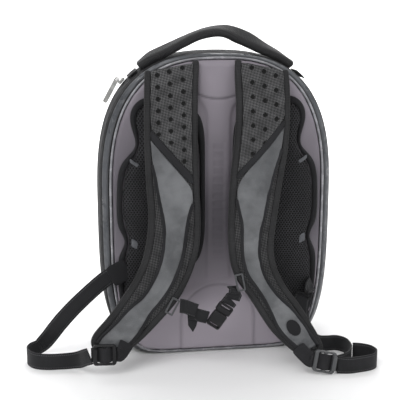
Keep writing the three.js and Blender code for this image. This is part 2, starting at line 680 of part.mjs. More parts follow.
// Ladder lock: plate with two slots and a raised lip at the webbing end. Local x runs along the webbing.
function ladderLock() {
  const slot = (LOCK_LENGTH - 3 * LOCK_BAR) / 2 - 1;
  const shape = roundedRectangle(LOCK_LENGTH, LOCK_HEIGHT, 5);
  for (const side of [-1, 1]) {
    const hole = roundedRectangle(slot, LOCK_SLOT_HEIGHT, 1.5);
    const centre = side * (LOCK_BAR + slot) / 2;
    hole.curves.forEach((curve) => shiftCurve(curve, centre));
    shape.holes.push(hole);
  }
  const lip = box(LOCK_BAR + 1, LOCK_HEIGHT * 0.66, LOCK_THICKNESS * 0.8, LOCK_LENGTH / 2 - LOCK_BAR / 2 - 0.6, 0, LOCK_THICKNESS * 0.6);
  return join(plate(shape, LOCK_THICKNESS, 1), lip);
}

function shiftCurve(curve, x) {
  for (const point of [curve.v1, curve.v2]) if (point) point.x += x;
  if (curve.aX !== undefined) curve.aX += x;
}

// Ladder locks beyond the strap ends. Each one's place is a share of half the width, a share of
// the height and how far it lies out in front of the strap's line there; along is the way the
// webbing leaves it and across the way its long side points.
const lockPlaces = {
  left: { x: -0.9889, z: 0.07328, out: 12.3, along: vec(-1, 0.06, 0), across: vec(0.1, 0, -1) },
  right: { x: 0.7889, z: 0.04009, out: 14.6, along: vec(0.95, 0, -0.22), across: vec(0.2, 0.25, 1) },
};
const locks = Object.fromEntries(Object.entries(lockPlaces).map(([name, { x, z, out, along, across }]) => {
  const height = z * BODY_HEIGHT;
  const centre = vec((x * BODY_WIDTH) / 2, -strapReach(height, STRAP_SWING[name]) - out, height);
  return [name, { centre, along, across }];
}));

// Rows of webbing: share of half the width, depth from the panel, share of the height, and the
// width's direction. A row without a share of the height stands on the floor.
function webbingRow([x, y, z, ...wide]) {
  const floor = WEBBING_WIDTH / 2 + FLOOR_GAP;
  return [(x * BODY_WIDTH) / 2, y, z === null ? floor : z * BODY_HEIGHT, ...wide];
}

// Rows beside a point: distance from it along x, y and z, and the width's direction.
function rowsBeside(point, rows) {
  return rows.map(([x, y, z, ...wide]) => [point.x + x, point.y + y, point.z + z, ...wide]);
}

// The left webbing comes out of the side seam, turns on the floor and runs to its lock.
const leftWebbing = [
  [-0.844, -7.9, 0.2974, -0.35, 0, 0.94], [-0.956, -7.5, 0.278, -0.6, 0, 0.8], [-1.144, -5, 0.2134, -0.68, 0, 0.73],
  [-1.278, 2, 0.1573, -0.68, 0.05, 0.73], [-1.383, 12, 0.1034, -0.6, 0.1, 0.79], [-1.461, 23, 0.056, -0.35, 0.12, 0.92],
  [-1.533, 22, 0.0304, -0.05, 0, 1], [-1.606, 10, null, 0, 0, 1], [-1.628, -8, null, 0, 0, 1],
  [-1.572, -28, null, 0, 0, 1], [-1.456, -37, null, 0, 0, 1], [-1.322, -38, null, 0, 0, 1],
  [-1.206, -45, 0.0366, 0, 0, 1],
];
const leftWebbingEnd = [[-29.5, 10, -7, -0.05, 0, 1], [-21.8, 0.5, -1, -0.1, 0, 1]];

// The right one comes out from under the strap, loops on the floor and ends at its lock.
const rightWebbing = [
  [0.8167, -8.1, 0.2306, -0.35, 0, 0.94], [0.7444, -19, 0.2177, 0.35, 0, 0.94], [0.7, -24, 0.1767, 0.9, 0, 0.45],
  [0.7, -27, 0.1207, 0.9, 0, 0.3], [0.7444, -30, 0.069, 0.6, 0, 0.8], [0.8333, -30, 0.0388, 0.1, 0, 1],
  [0.9333, -24, null, 0, 0, 1], [1.0222, -24, null, 0, 0, 1], [1.0833, -36, null, 0, 0, 1],
  [1.0944, -55, null, 0, 0, 1], [1.0722, -74, null, 0, 0, 1], [1.0167, -89, null, 0, 0, 1],
];
const rightWebbingEnd = [[30, 9, -5.6, 0, 0, 1], [19.5, 3, -5.2, 0.15, 0.1, 1]];
const rightTailStart = [[19.4, -1.5, -5.4, 0.1, 0.1, 1], [36, -5, -5.9, 0, 0, 1]];
const rightTail = [
  [1.1222, -108, null, 0, 0, 1], [1.2222, -101, null, 0, 0, 1], [1.2667, -87, null, 0, 0, 1],
  [1.2444, -71, null, 0, 0, 1], [1.1833, -62, null, 0, 0, 1], [1.1111, -58, null, 0, 0, 1],
];

function addWebbing() {
  const { left, right } = locks;
  const addStrip = (name, rows, steps) => {
    addMesh(name, ribbon(rows, WEBBING_WIDTH, WEBBING_THICKNESS, steps), colours.webbing, 0.9);
  };
  addStrip('lower_webbing_left', [...leftWebbing.map(webbingRow), ...rowsBeside(left.centre, leftWebbingEnd)], 48);
  addStrip('lower_webbing_right', [...rightWebbing.map(webbingRow), ...rowsBeside(right.centre, rightWebbingEnd)], 48);
  addStrip('webbing_tail_right', [...rowsBeside(right.centre, rightTailStart), ...rightTail.map(webbingRow)], 32);
  for (const [name, { centre, along, across }] of Object.entries(locks)) {
    const colour = name === 'left' ? colours.plastic : colours.greyPlastic;
    addMesh(`ladder_lock_${name}`, placed(ladderLock(), centre, along, across), colour, 0.5);
  }
}

// Where each tab starts on its strap: t down the strap and a across it
const tabStarts = { left: { t: 0.84, a: 0.78 }, right: { t: 0.9, a: 0.8 } };

function addEndTabs() {
  for (const [name, { centre, along, across }] of Object.entries(locks)) {
    const surface = straps[name];
    const { t, a } = tabStarts[name];
    const run = along.clone().normalize();
    const end = centre.clone().addScaledVector(run, -(LOCK_LENGTH / 2 + TAB_GAP));
    const start = surface.at(t, a, TAB_RISE);
    const { face } = surface.frame(t);
    const knee = end.clone().addScaledVector(run, -TAB_KNEE);
    const wide = new THREE.Vector3().crossVectors(face, knee.clone().sub(start)).normalize();
    const last = wide.dot(across) < 0 ? across.clone().negate() : across;
    const rows = [[start, wide], [knee, last], [end, last]];
    addMesh(`strap_end_tab_${name}`, ribbon(
      rows.map(([p, w]) => [p.x, p.y, p.z, w.x, w.y, w.z]), WEBBING_WIDTH - 4, 2, 6,
    ), colours.black, 0.85);
  }
}

// Chest strap

function clipFrame() {
  const shape = roundedRectangle(CLIP_WIDTH, CLIP_LENGTH, 2);
  const hole = roundedRectangle(CLIP_WIDTH - 2 * CLIP_BAR, CLIP_LENGTH - 2 * CLIP_BAR, 0.8);
  shape.holes.push(hole);
  return plate(shape, CLIP_BAR, 0.5);
}

const clips = { left: { t: 0.665, a: 0.97 }, right: { t: 0.66, a: 0.97 } };

// Low end of the buckle: share of half the width, distance from the panel, share of the height,
// and the way the buckle points.
const buckleAt = { x: -0.10556, depth: 62, z: 0.14224, axis: vec(22, -2, 32) };

function clipPlace(name) {
  const { t, a } = clips[name];
  const f = straps[name].frame(t);
  return { centre: straps[name].at(t, a, 2.4), along: f.across.clone(), across: f.along.clone().negate() };
}

function addChestStrap() {
  const places = { left: clipPlace('left'), right: clipPlace('right') };
  for (const [name, { centre, along, across }] of Object.entries(places)) {
    addMesh(`sternum_clip_${name}`, placed(clipFrame(), centre, along, across), colours.greyPlastic, 0.4);
  }
  const low = vec((buckleAt.x * BODY_WIDTH) / 2, -buckleAt.depth, buckleAt.z * BODY_HEIGHT);
  const axis = buckleAt.axis.clone().normalize();
  const across = new THREE.Vector3().crossVectors(vec(0, -1, 0), axis).normalize();

  // female half, local x up along the buckle, with the bar for the webbing at its low end
  const bodyShape = roundedRectangle(BUCKLE_LENGTH, BUCKLE_WIDTH, 3);
  const mouth = box(TONGUE_REACH + 1, BUCKLE_WIDTH - 5, 5, BUCKLE_LENGTH / 2 - TONGUE_REACH / 2 + 0.5, 0, 0);
  const barSlot = box(3, BUCKLE_WIDTH - 6, BUCKLE_THICKNESS + 2, -BUCKLE_LENGTH / 2 + 4.5, 0, 0);
  const female = cut(plate(bodyShape, BUCKLE_THICKNESS, 1.5), mouth, barSlot);
  const femaleCentre = low.clone().addScaledVector(axis, BUCKLE_LENGTH / 2);
  addMesh('sternum_buckle', placed(female, femaleCentre, axis, across), colours.plastic, 0.45);

  // male half: a head outside the female one and a plug in its mouth
  const head = plate(roundedRectangle(TONGUE_LENGTH, BUCKLE_WIDTH + 2, 2), BUCKLE_THICKNESS - 2, 1);
  const headSlot = box(3, BUCKLE_WIDTH - 5, BUCKLE_THICKNESS, TONGUE_LENGTH / 2 - 4, 0, 0);
  const plug = box(
    TONGUE_REACH, BUCKLE_WIDTH - 5 - 2 * TONGUE_CLEARANCE, 5 - 2 * TONGUE_CLEARANCE,
    -TONGUE_LENGTH / 2 - TONGUE_REACH / 2 + 1.2, 0, 0,
  );
  const tongue = join(cut(head, headSlot), plug);
  const headCentre = low.clone().addScaledVector(axis, BUCKLE_LENGTH + 0.4 + TONGUE_LENGTH / 2);
  addMesh('sternum_tongue', placed(tongue, headCentre, axis, across), colours.plastic, 0.45);

  const [leftClip, rightClip] = [places.left.centre, places.right.centre];
  addMesh('sternum_webbing_left', ribbon([
    ...rowsBeside(leftClip, [[11.5, -0.5, 1, 0.2, 0, 1]]),
    ...rowsBeside(low, [[-39, 1, 32, 0.15, 0, 1], [-23, -2.5, 26, 0.3, 0, 1]]),
  ], CHEST_WIDTH, WEBBING_THICKNESS, 8), colours.webbing, 0.9);
  const entry = low.clone().addScaledVector(axis, BUCKLE_WIDTH / 2 - 3).addScaledVector(across, BUCKLE_WIDTH / 2 + 1.9);
  addMesh('sternum_webbing_loop', ribbon([
    ...rowsBeside(low, [[-31, 1.1, 22, 0.35, 0, 0.94], [-19, 0.2, 18, 0.45, 0, 0.9]]),
    [entry.x, entry.y, entry.z, axis.x, axis.y, axis.z],
  ], CHEST_WIDTH - 2, WEBBING_THICKNESS, 6), colours.webbing, 0.9);
  addMesh('sternum_tail', tailPiece(low), colours.webbing, 0.9);
  const headEnd = low.clone().addScaledVector(axis, BUCKLE_LENGTH + 1.6 + TONGUE_LENGTH);
  addMesh('sternum_webbing_right', ribbon([
    [headEnd.x, headEnd.y, headEnd.z, -across.x, -across.y, -across.z],
    [(headEnd.x + rightClip.x) / 2, headEnd.y - 2, (headEnd.z + rightClip.z) / 2, -0.7, 0, 0.7],
    [rightClip.x - 13, rightClip.y, rightClip.z - 5, -0.6, 0, 0.8],
  ], WEBBING_WIDTH - 2, WEBBING_THICKNESS, 6), colours.webbing, 0.9);
}

// Free end of the chest webbing, hanging to a point
function tailPiece(low) {
  const shape = new THREE.Shape();
  shape.moveTo(-9, 0);
  shape.lineTo(9, 0);
  shape.lineTo(4, -19);
  shape.lineTo(-1, -28);
  shape.lineTo(-8, -17);
  return plate(shape, WEBBING_THICKNESS).rotateX(Math.PI / 2).translate(low.x - 27, low.y + 3, low.z + 19);
}

function addLabel() {
  const surface = straps.right;
  const f = surface.frame(0.84);
  const shape = new THREE.Shape();
  shape.absellipse(0, 0, LABEL_LENGTH / 2, LABEL_WIDTH / 2, 0, Math.PI * 2);
  const patch = plate(shape, LABEL_THICKNESS, 0, 10);
  const centre = surface.at(0.84, 0.5, STRAP_CROWN + GAP + LAYER + GAP + LABEL_THICKNESS / 2 + 0.5);
  addMesh('label_patch', placed(patch, centre, f.along, f.across), colours.black, 0.6);
}

// Handle: padded strap over the top. Rows: share of half the span,
// share of the rise above its seat, tilt of the strap towards the viewer in degrees.
const handleRows = [
  [-1, 0, 0], [-0.95, 0.02, 4], [-0.85, 0.1, 12], [-0.71, 0.12, 15], [-0.47, 0.4, 10], [-0.24, 0.76, 3],
  [-0.06, 0.95, 8], [0.05, 1, 14], [0.17, 0.94, 26], [0.28, 0.77, 36], [0.43, 0.55, 38], [0.64, 0.22, 22],
  [0.79, 0.12, 14], [0.9, 0.05, 8], [1, 0, 0],
];

function addHandle() {
  const seat = 0.5 + HANDLE_THICKNESS / 2;
  const centre = new THREE.CatmullRomCurve3(handleRows.map(([s, rise]) => {
    const x = (s * HANDLE_SPAN) / 2;
    return vec(x, HANDLE_DEPTH, bodyTop(x) + seat * 0.92 + rise * (HANDLE_RISE - seat));
  }));
  const steps = 36;
  const sections = [];
  const [w, h] = [HANDLE_WIDTH / 2, HANDLE_THICKNESS / 2];
  const outline = [[-w, -h * 0.3], [-w * 0.8, -h], [w * 0.8, -h], [w, -h * 0.3], [w, h * 0.3], [w * 0.8, h], [-w * 0.8, h], [-w, h * 0.3]];
  for (let i = 0; i <= steps; i += 1) {
    const t = i / steps;
    const at = t * (handleRows.length - 1);
    const k = Math.min(handleRows.length - 2, Math.floor(at));
    const tilt = THREE.MathUtils.degToRad(handleRows[k][2] + (handleRows[k + 1][2] - handleRows[k][2]) * (at - k));
    const along = centre.getTangent(t);
    const back = vec(0, 1, 0);
    const up = new THREE.Vector3().crossVectors(along, back).normalize().negate();
    if (up.z < 0) up.negate();
    const [c, s] = [Math.cos(tilt), Math.sin(tilt)];
    const wide = back.clone().multiplyScalar(c).addScaledVector(up, s);
    const thick = up.clone().multiplyScalar(c).addScaledVector(back, -s);
    sections.push(outline.map(([a, b]) => centre.getPoint(t).addScaledVector(wide, a).addScaledVector(thick, b)));
  }
  addMesh('grab_handle', loft(sections), colours.black, 0.85);
}

// Zip slider, puller and the two tabs on the zip

function outlineFrame(degrees, depth) {
  const angle = THREE.MathUtils.degToRad(degrees);
  const [before, here, after] = [-0.02, 0, 0.02].map((d) => outlinePoint(angle + d));
  const along = vec(after.x - before.x, 0, after.z - before.z).normalize();
  const out = vec(along.z, 0, -along.x);
  return { point: vec(here.x, depth, here.z), along, out };
}

function addZipHardware() {
  const depth = (GUSSET_END + ZIP_END) / 2;
  const { point, along, out } = outlineFrame(SLIDER_ANGLE, depth);
  const seat = COIL_RISE + GAP;

  // local x along the zip, local y out of the body, local z along the depth of the bag
  const base = plate(roundedRectangle(SLIDER_LENGTH, SLIDER_WIDTH, 3), SLIDER_HEIGHT, 0.8)
    .rotateX(Math.PI / 2).translate(0, seat + SLIDER_HEIGHT / 2, 0);
  const barHeight = seat + SLIDER_HEIGHT + BAIL_HEIGHT - BAIL_WIRE / 2;
  const postReach = (BAIL_INSIDE + BAIL_WIRE) / 2;
  const posts = [-1, 1].map((side) => box(
    BAIL_WIRE, BAIL_HEIGHT + 1, BAIL_WIRE, SLIDER_LENGTH / 4, barHeight + BAIL_WIRE / 2 - (BAIL_HEIGHT + 1) / 2, side * postReach,
  ));
  const bar = new THREE.CylinderGeometry(BAIL_WIRE / 2, BAIL_WIRE / 2, BAIL_INSIDE + 2 * BAIL_WIRE, 8)
    .rotateX(Math.PI / 2).translate(SLIDER_LENGTH / 4, barHeight, 0);
  addMesh('zip_slider', placed(join(base, ...posts, bar), point, along, out), colours.metal, 0.25, 1);

  const pivot = point.clone().addScaledVector(along, SLIDER_LENGTH / 4).addScaledVector(out, barHeight);
  const hang = Math.atan2(along.z, along.x) + THREE.MathUtils.degToRad(PULLER_SPREAD);
  const shape = roundedRectangle(PULLER_LENGTH, PULLER_WIDTH, 3);
  const eye = new THREE.Path();
  eye.absarc(-PULLER_LENGTH / 2 + PULLER_EYE_INSET, 0, PULLER_EYE, 0, Math.PI * 2, true);
  shape.holes.push(eye);
  const slot = new THREE.Path();
  const [slotLow, slotHigh, slotHalf] = [-PULLER_LENGTH / 2 + PULLER_EYE_INSET * 2.6, PULLER_LENGTH / 2 - 4, 0.9];
  slot.moveTo(slotLow, -slotHalf);
  slot.lineTo(slotLow, slotHalf);
  slot.lineTo(slotHigh, slotHalf);
  slot.lineTo(slotHigh, -slotHalf);
  shape.holes.push(slot);
  const puller = plate(shape, PULLER_THICKNESS, 0.3).translate(PULLER_LENGTH / 2 - PULLER_EYE_INSET, 0, 0);
  addMesh('zip_puller', placed(puller, pivot, vec(Math.cos(hang), 0, Math.sin(hang)), vec(-Math.sin(hang), 0, Math.cos(hang))),
    colours.metal, 0.25, 1);

  addZipTab('zip_garage', GARAGE_ANGLE);
  addZipTab('zip_end_tab', TAB_ANGLE);
}

// Fabric tab over the zip, following the outline
function addZipTab(name, degrees) {
  const reach = THREE.MathUtils.radToDeg(GARAGE_LENGTH / (2 * 215));
  addMesh(name, gridSlab(4, 4, (r, c, top) => {
    const { point, out } = outlineFrame(degrees + (2 * r - 1) * reach, 0);
    const bulge = Math.sin(Math.PI * r) * Math.sin(Math.PI * c);
    const height = COIL_RISE + 0.2 + (top ? 1.2 + (TAB_THICKNESS - 1.2) * bulge : 0);
    const depth = BAND_END + 3 + (ZIP_END - BAND_END) * c;
    return vec(point.x + out.x * height, depth, point.z + out.z * height);
  }), colours.black, 0.85);
}

addBody();
addPanel();
addPads();
addStraps();
addWebbing();
addEndTabs();
addChestStrap();
addLabel();
addHandle();
addZipHardware();

const root = new THREE.Group();
bag.position.y = -ORIGIN_DEPTH;
root.add(bag);

export default root;
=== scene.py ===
import json
import math

import bmesh
import bpy
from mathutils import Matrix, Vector

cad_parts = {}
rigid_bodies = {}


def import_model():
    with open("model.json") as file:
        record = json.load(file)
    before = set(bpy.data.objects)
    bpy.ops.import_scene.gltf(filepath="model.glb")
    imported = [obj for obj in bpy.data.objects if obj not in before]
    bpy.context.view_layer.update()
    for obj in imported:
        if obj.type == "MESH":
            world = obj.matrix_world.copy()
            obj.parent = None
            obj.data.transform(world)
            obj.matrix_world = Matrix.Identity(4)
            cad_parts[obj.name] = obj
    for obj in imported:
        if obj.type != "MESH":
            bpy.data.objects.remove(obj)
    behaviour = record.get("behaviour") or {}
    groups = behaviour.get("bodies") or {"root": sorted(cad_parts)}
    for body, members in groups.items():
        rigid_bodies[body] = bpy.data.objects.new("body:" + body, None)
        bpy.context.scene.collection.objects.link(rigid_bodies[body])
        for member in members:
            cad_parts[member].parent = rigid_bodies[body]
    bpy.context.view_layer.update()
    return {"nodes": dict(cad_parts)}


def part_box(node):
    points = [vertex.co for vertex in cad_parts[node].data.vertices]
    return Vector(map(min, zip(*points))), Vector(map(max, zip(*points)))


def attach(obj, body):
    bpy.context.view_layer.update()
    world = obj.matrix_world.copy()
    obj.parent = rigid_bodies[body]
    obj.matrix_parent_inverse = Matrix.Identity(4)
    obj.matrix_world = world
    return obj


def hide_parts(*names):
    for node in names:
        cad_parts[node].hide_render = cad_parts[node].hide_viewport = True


bpy.ops.object.select_all(action="SELECT")
bpy.ops.object.delete()
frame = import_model()
print("frame loaded:", len(frame["nodes"]), "nodes")


# Working helpers

def softStep(value, low, high):
    share = min(1.0, max(0.0, (value - low) / (high - low)))
    return share * share * (3 - 2 * share)


def alone(piece):
    bpy.ops.object.select_all(action="DESELECT")
    piece.select_set(True)
    bpy.context.view_layer.objects.active = piece


def clear():
    bpy.ops.object.select_all(action="DESELECT")


def inEdit(piece, *steps):
    # each step is an edit mode operator with its settings
    alone(piece)
    bpy.ops.object.mode_set(mode="EDIT")
    bpy.ops.mesh.select_all(action="SELECT")
    for operator, settings in steps:
        operator(**settings)
    bpy.ops.object.mode_set(mode="OBJECT")


def modify(piece, kind, **settings):
    alone(piece)
    modifier = piece.modifiers.new(kind.lower(), kind)
    for setting, value in settings.items():
        setattr(modifier, setting, value)
    bpy.ops.object.modifier_apply(modifier=modifier.name)


def softCopy(node, name):
    # a fresh piece in the place of a solid from the frame, with its loose triangles merged to quads
    alone(frame["nodes"][node])
    bpy.ops.object.duplicate()
    piece = bpy.context.active_object
    piece.name = name
    piece.data.name = name
    for key in list(piece.keys()):
        del piece[key]
    piece.parent = None
    piece.data.materials.clear()
    bpy.ops.mesh.customdata_custom_splitnormals_clear()
    inEdit(
        piece,
        (bpy.ops.mesh.remove_doubles, {"threshold": 0.00002}),
        (bpy.ops.mesh.tris_convert_to_quads, {"face_threshold": 0.7, "shape_threshold": 0.7}),
        (bpy.ops.mesh.normals_make_consistent, {"inside": False}),
    )
    return piece


def creaseCorners(piece, degrees, amount=0.4):
    # corners sharper than this stay sharp under subdivision
    work = bmesh.new()
    work.from_mesh(piece.data)
    layer = work.edges.layers.float.get("crease_edge") or work.edges.layers.float.new("crease_edge")
    for edge in work.edges:
        if len(edge.link_faces) == 2 and edge.calc_face_angle() > math.radians(degrees):
            edge[layer] = amount
    work.to_mesh(piece.data)
    work.free()


def smoothed(piece, levels=2):
    modify(piece, "SUBSURF", levels=levels, render_levels=levels)
    alone(piece)
    bpy.ops.object.shade_smooth()


def rounded(piece, width, segments=3, degrees=30):
    modify(
        piece, "BEVEL", width=width, segments=segments, limit_method="ANGLE",
        angle_limit=math.radians(degrees), harden_normals=False,
    )
    alone(piece)
    bpy.ops.object.shade_smooth_by_angle(angle=math.radians(40))


def plumped(piece, amount):
    # moves the whole skin outwards a little, as filled or woven goods stand proud of their pattern
    modify(piece, "DISPLACE", strength=amount, mid_level=0.0)


def rippled(piece, size, strength, axis="NORMAL"):
    clouds = bpy.data.textures.new(piece.name + "Ripple", "CLOUDS")
    clouds.noise_scale = size
    modify(piece, "DISPLACE", texture=clouds, strength=strength, mid_level=0.5, direction=axis)


def layCloth(piece, upward, ring, narrow=None):
    # Writes how far each point lies across and along the strip, so that a weave can follow it, and
    # gives back the strip's two edges. The strip starts with the points that lie furthest upward.
    # narrow says, by share of the length, how much of its width the strip keeps.
    work = bmesh.new()
    work.from_mesh(piece.data)
    lay = work.verts.layers.float_vector.new("lay")
    upward = Vector(upward)
    current = sorted(work.verts, key=lambda vert: -vert.co.dot(upward))[:ring]
    seen = set(current)
    rows = []
    along = 0.0
    wide = None
    while current:
        centre = sum((vert.co for vert in current), Vector()) / len(current)
        if rows:
            along += (centre - rows[-1][1]).length
        far = max(current, key=lambda vert: (vert.co - centre).length)
        other = max(current, key=lambda vert: (vert.co - far.co).length)
        turn = (far.co - other.co).normalized()
        if wide is not None and wide.dot(turn) < 0:
            turn.negate()
        wide = turn
        rows.append((current, centre, wide, along))
        found = []
        for vert in current:
            for edge in vert.link_edges:
                nextVert = edge.other_vert(vert)
                if nextVert not in seen:
                    seen.add(nextVert)
                    found.append(nextVert)
        current = found
    edges = ([], [])
    for members, centre, wide, reached in rows:
        keep = narrow(reached / along) if narrow else 1.0
        for vert in members:
            across = (vert.co - centre).dot(wide)
            vert.co -= wide * across * (1 - keep)
            vert[lay] = (across * keep, reached, 0.0)
        low = min(members, key=lambda vert: vert[lay].x)
        high = max(members, key=lambda vert: vert[lay].x)
        edges[0].append(low.co.copy())
        edges[1].append(high.co.copy())
    work.to_mesh(piece.data)
    work.free()
    return edges


def tube(name, points, radius):
    # round cord or welt through the points, turned into a mesh
    clear()
    bpy.ops.curve.primitive_bezier_curve_add(location=(0, 0, 0))
    piece = bpy.context.active_object
    piece.name = name
    spline = piece.data.splines[0]
    spline.bezier_points.add(len(points) - 2)
    for knot, point in zip(spline.bezier_points, points):
        knot.co = point
        knot.handle_left_type = "AUTO"
        knot.handle_right_type = "AUTO"
    piece.data.resolution_u = 5
    piece.data.bevel_depth = radius
    piece.data.bevel_resolution = 3
    piece.data.use_fill_caps = True
    alone(piece)
    bpy.ops.object.convert(target="MESH")
    bpy.ops.object.shade_smooth()
    return piece


def strip(name, points, wide, width, thickness):
    # flat strip through the points: a plane drawn out along them, then given its thickness
    clear()
    bpy.ops.mesh.primitive_plane_add(size=1, location=(0, 0, 0))
    piece = bpy.context.active_object
    piece.name = name
    bpy.ops.object.mode_set(mode="EDIT")
    bpy.ops.mesh.select_all(action="SELECT")
    bpy.ops.mesh.subdivide(number_cuts=len(points) - 2)
    bpy.ops.object.mode_set(mode="OBJECT")
    across = Vector(wide).normalized()
    last = len(points) - 1
    for vert in piece.data.vertices:
        share = (vert.co.x + 0.5) * last
        row = points[min(last, round(share))]
        vert.co = Vector(row) + across * vert.co.y * width
    inEdit(piece, (bpy.ops.mesh.normals_make_consistent, {"inside": False}))
    modify(piece, "SOLIDIFY", thickness=thickness, offset=0.0)
    return piece


def placeInBag(piece, slot, *nodes, body="bag"):
    # hands a finished piece to the frame: the solids it stands for are hidden and it joins its body. The
    # slot, which names its finish, is not used.
    if nodes:
        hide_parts(*nodes)
    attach(piece, body)
    return piece


# Camera, floor and light

def aimed(place, target):
    # turns a camera or light at one place towards another
    return (Vector(target) - Vector(place)).to_track_quat("-Z", "Y").to_euler()


shot = {
    "from": (-0.2043, -1.3344, 0.5364),
    "at": (-0.028, -0.080, 0.244),
    "lens": 77.8,
}

clear()
bpy.ops.object.camera_add(location=shot["from"])
camera = bpy.context.active_object
camera.name = "photoCamera"
camera.rotation_euler = aimed(shot["from"], shot["at"])
camera.data.lens = shot["lens"]
camera.data.sensor_width = 36
bpy.context.scene.camera = camera

studio = {
    "floorSize": 14.0,
    "floorColour": (0.86, 0.86, 0.865, 1),
    "backdropBend": 2.0,
    "world": 0.6,
}

# Area lights, turned to the middle of the bag or to the backdrop
bagMiddle = (0, -0.05, 0.22)
lights = {
    "keyLight": {"place": (-1.1, -1.3, 2.0), "power": 30, "size": 1.6, "target": bagMiddle},
    "fillLight": {"place": (1.6, -1.5, 1.1), "power": 11, "size": 1.8, "target": bagMiddle},
    "backLight": {"place": (0.3, 1.4, 1.9), "power": 24, "size": 2.2, "target": bagMiddle},
    "sweepLight": {"place": (0, 2.6, 4.2), "power": 520, "size": 5.0, "target": (0, 7, 0.8)},
}


def makeStudio():
    clear()
    bpy.ops.mesh.primitive_plane_add(size=studio["floorSize"], location=(0, 0, 0))
    floor = bpy.context.active_object
    floor.name = "studioFloor"
    # the far edge is drawn up into a backdrop with a soft bend
    farEdge = studio["floorSize"] * 0.49
    bpy.ops.object.mode_set(mode="EDIT")
    bpy.ops.mesh.select_all(action="DESELECT")
    work = bmesh.from_edit_mesh(floor.data)
    for vert in work.verts:
        vert.select = vert.co.y > farEdge
    work.select_flush(True)
    bmesh.update_edit_mesh(floor.data)
    raised = (0, 0, studio["floorSize"] / 2)
    bpy.ops.mesh.extrude_region_move(TRANSFORM_OT_translate={"value": raised})
    bpy.ops.mesh.select_all(action="DESELECT")
    work = bmesh.from_edit_mesh(floor.data)
    for vert in work.verts:
        vert.select = vert.co.y > farEdge and vert.co.z < 0.001
    work.select_flush(True)
    bmesh.update_edit_mesh(floor.data)
    bpy.ops.mesh.bevel(offset=studio["backdropBend"], segments=12, profile=0.5, affect="EDGES")
    bpy.ops.object.mode_set(mode="OBJECT")
    bpy.ops.object.shade_smooth()
    paper = bpy.data.materials.new("studioPaper")
    paper.use_nodes = True
    shader = paper.node_tree.nodes["Principled BSDF"]
    shader.inputs["Base Color"].default_value = studio["floorColour"]
    shader.inputs["Roughness"].default_value = 0.75
    floor.data.materials.append(paper)

    for name, light in lights.items():
        bpy.ops.object.light_add(type="AREA", location=light["place"])
        lamp = bpy.context.active_object
        lamp.name = name
        lamp.data.energy = light["power"]
        lamp.data.size = light["size"]
        lamp.rotation_euler = aimed(light["place"], light["target"])

    world = bpy.data.worlds.new("paleRoom")
    world.use_nodes = True
    world.node_tree.nodes["Background"].inputs["Color"].default_value = (1, 1, 1, 1)
    world.node_tree.nodes["Background"].inputs["Strength"].default_value = studio["world"]
    bpy.context.scene.world = world
    bpy.context.scene.view_settings.view_transform = "Standard"


makeStudio()
print("studio set")


# Shader groups: patterns that several cloths share

def sums(tree, operation, first, second=None, third=None, clamp=False):
    node = tree.nodes.new("ShaderNodeMath")
    node.operation = operation
    node.use_clamp = clamp
    for slot, value in enumerate((first, second, third)):
        if value is None:
            continue
        if isinstance(value, (int, float)):
            node.inputs[slot].default_value = value
        else:
            tree.links.new(value, node.inputs[slot])
    return node.outputs[0]


def newPattern(name, inputs, outputs):
    tree = bpy.data.node_groups.new(name, "ShaderNodeTree")
    for label, value in inputs:
        kind = "NodeSocketVector" if value is None else "NodeSocketFloat"
        socket = tree.interface.new_socket(label, in_out="INPUT", socket_type=kind)
        if value is not None:
            socket.default_value = value
    for label in outputs:
        tree.interface.new_socket(label, in_out="OUTPUT", socket_type="NodeSocketFloat")
    return tree, tree.nodes.new("NodeGroupInput").outputs, tree.nodes.new("NodeGroupOutput").inputs


def split(tree, vector):
    node = tree.nodes.new("ShaderNodeSeparateXYZ")
    tree.links.new(vector, node.inputs[0])
    return node.outputs


def ramp(tree, value, low, high, toLow=0.0, toHigh=1.0):
    node = tree.nodes.new("ShaderNodeMapRange")
    node.interpolation_type = "SMOOTHSTEP"
    parts = {"Value": value, "From Min": low, "From Max": high, "To Min": toLow, "To Max": toHigh}
    for slot, part in parts.items():
        if isinstance(part, (int, float)):
            node.inputs[slot].default_value = part
        else:
            tree.links.new(part, node.inputs[slot])
    return node.outputs["Result"]


def noise(tree, vector, scale, detail=3.0, rough=0.55):
    node = tree.nodes.new("ShaderNodeTexNoise")
    node.inputs["Scale"].default_value = scale
    node.inputs["Detail"].default_value = detail
    node.inputs["Roughness"].default_value = rough
    tree.links.new(vector, node.inputs["Vector"])
    return node.outputs["Fac"]


def makeWeave():
    # plain weave: threads over and under each other, with the pitch in metres
    tree, given, out = newPattern("plainWeave", [("Place", None), ("Pitch", 0.001)], ["Height"])
    parts = split(tree, given["Place"])
    turns = sums(tree, "DIVIDE", math.pi, given["Pitch"])
    first = sums(tree, "SINE", sums(tree, "MULTIPLY", parts[0], turns))
    second = sums(tree, "SINE", sums(tree, "MULTIPLY", parts[1], turns))
    wave = sums(tree, "MULTIPLY", first, second)
    tree.links.new(sums(tree, "MULTIPLY_ADD", wave, 0.5, 0.5), out["Height"])
    return tree


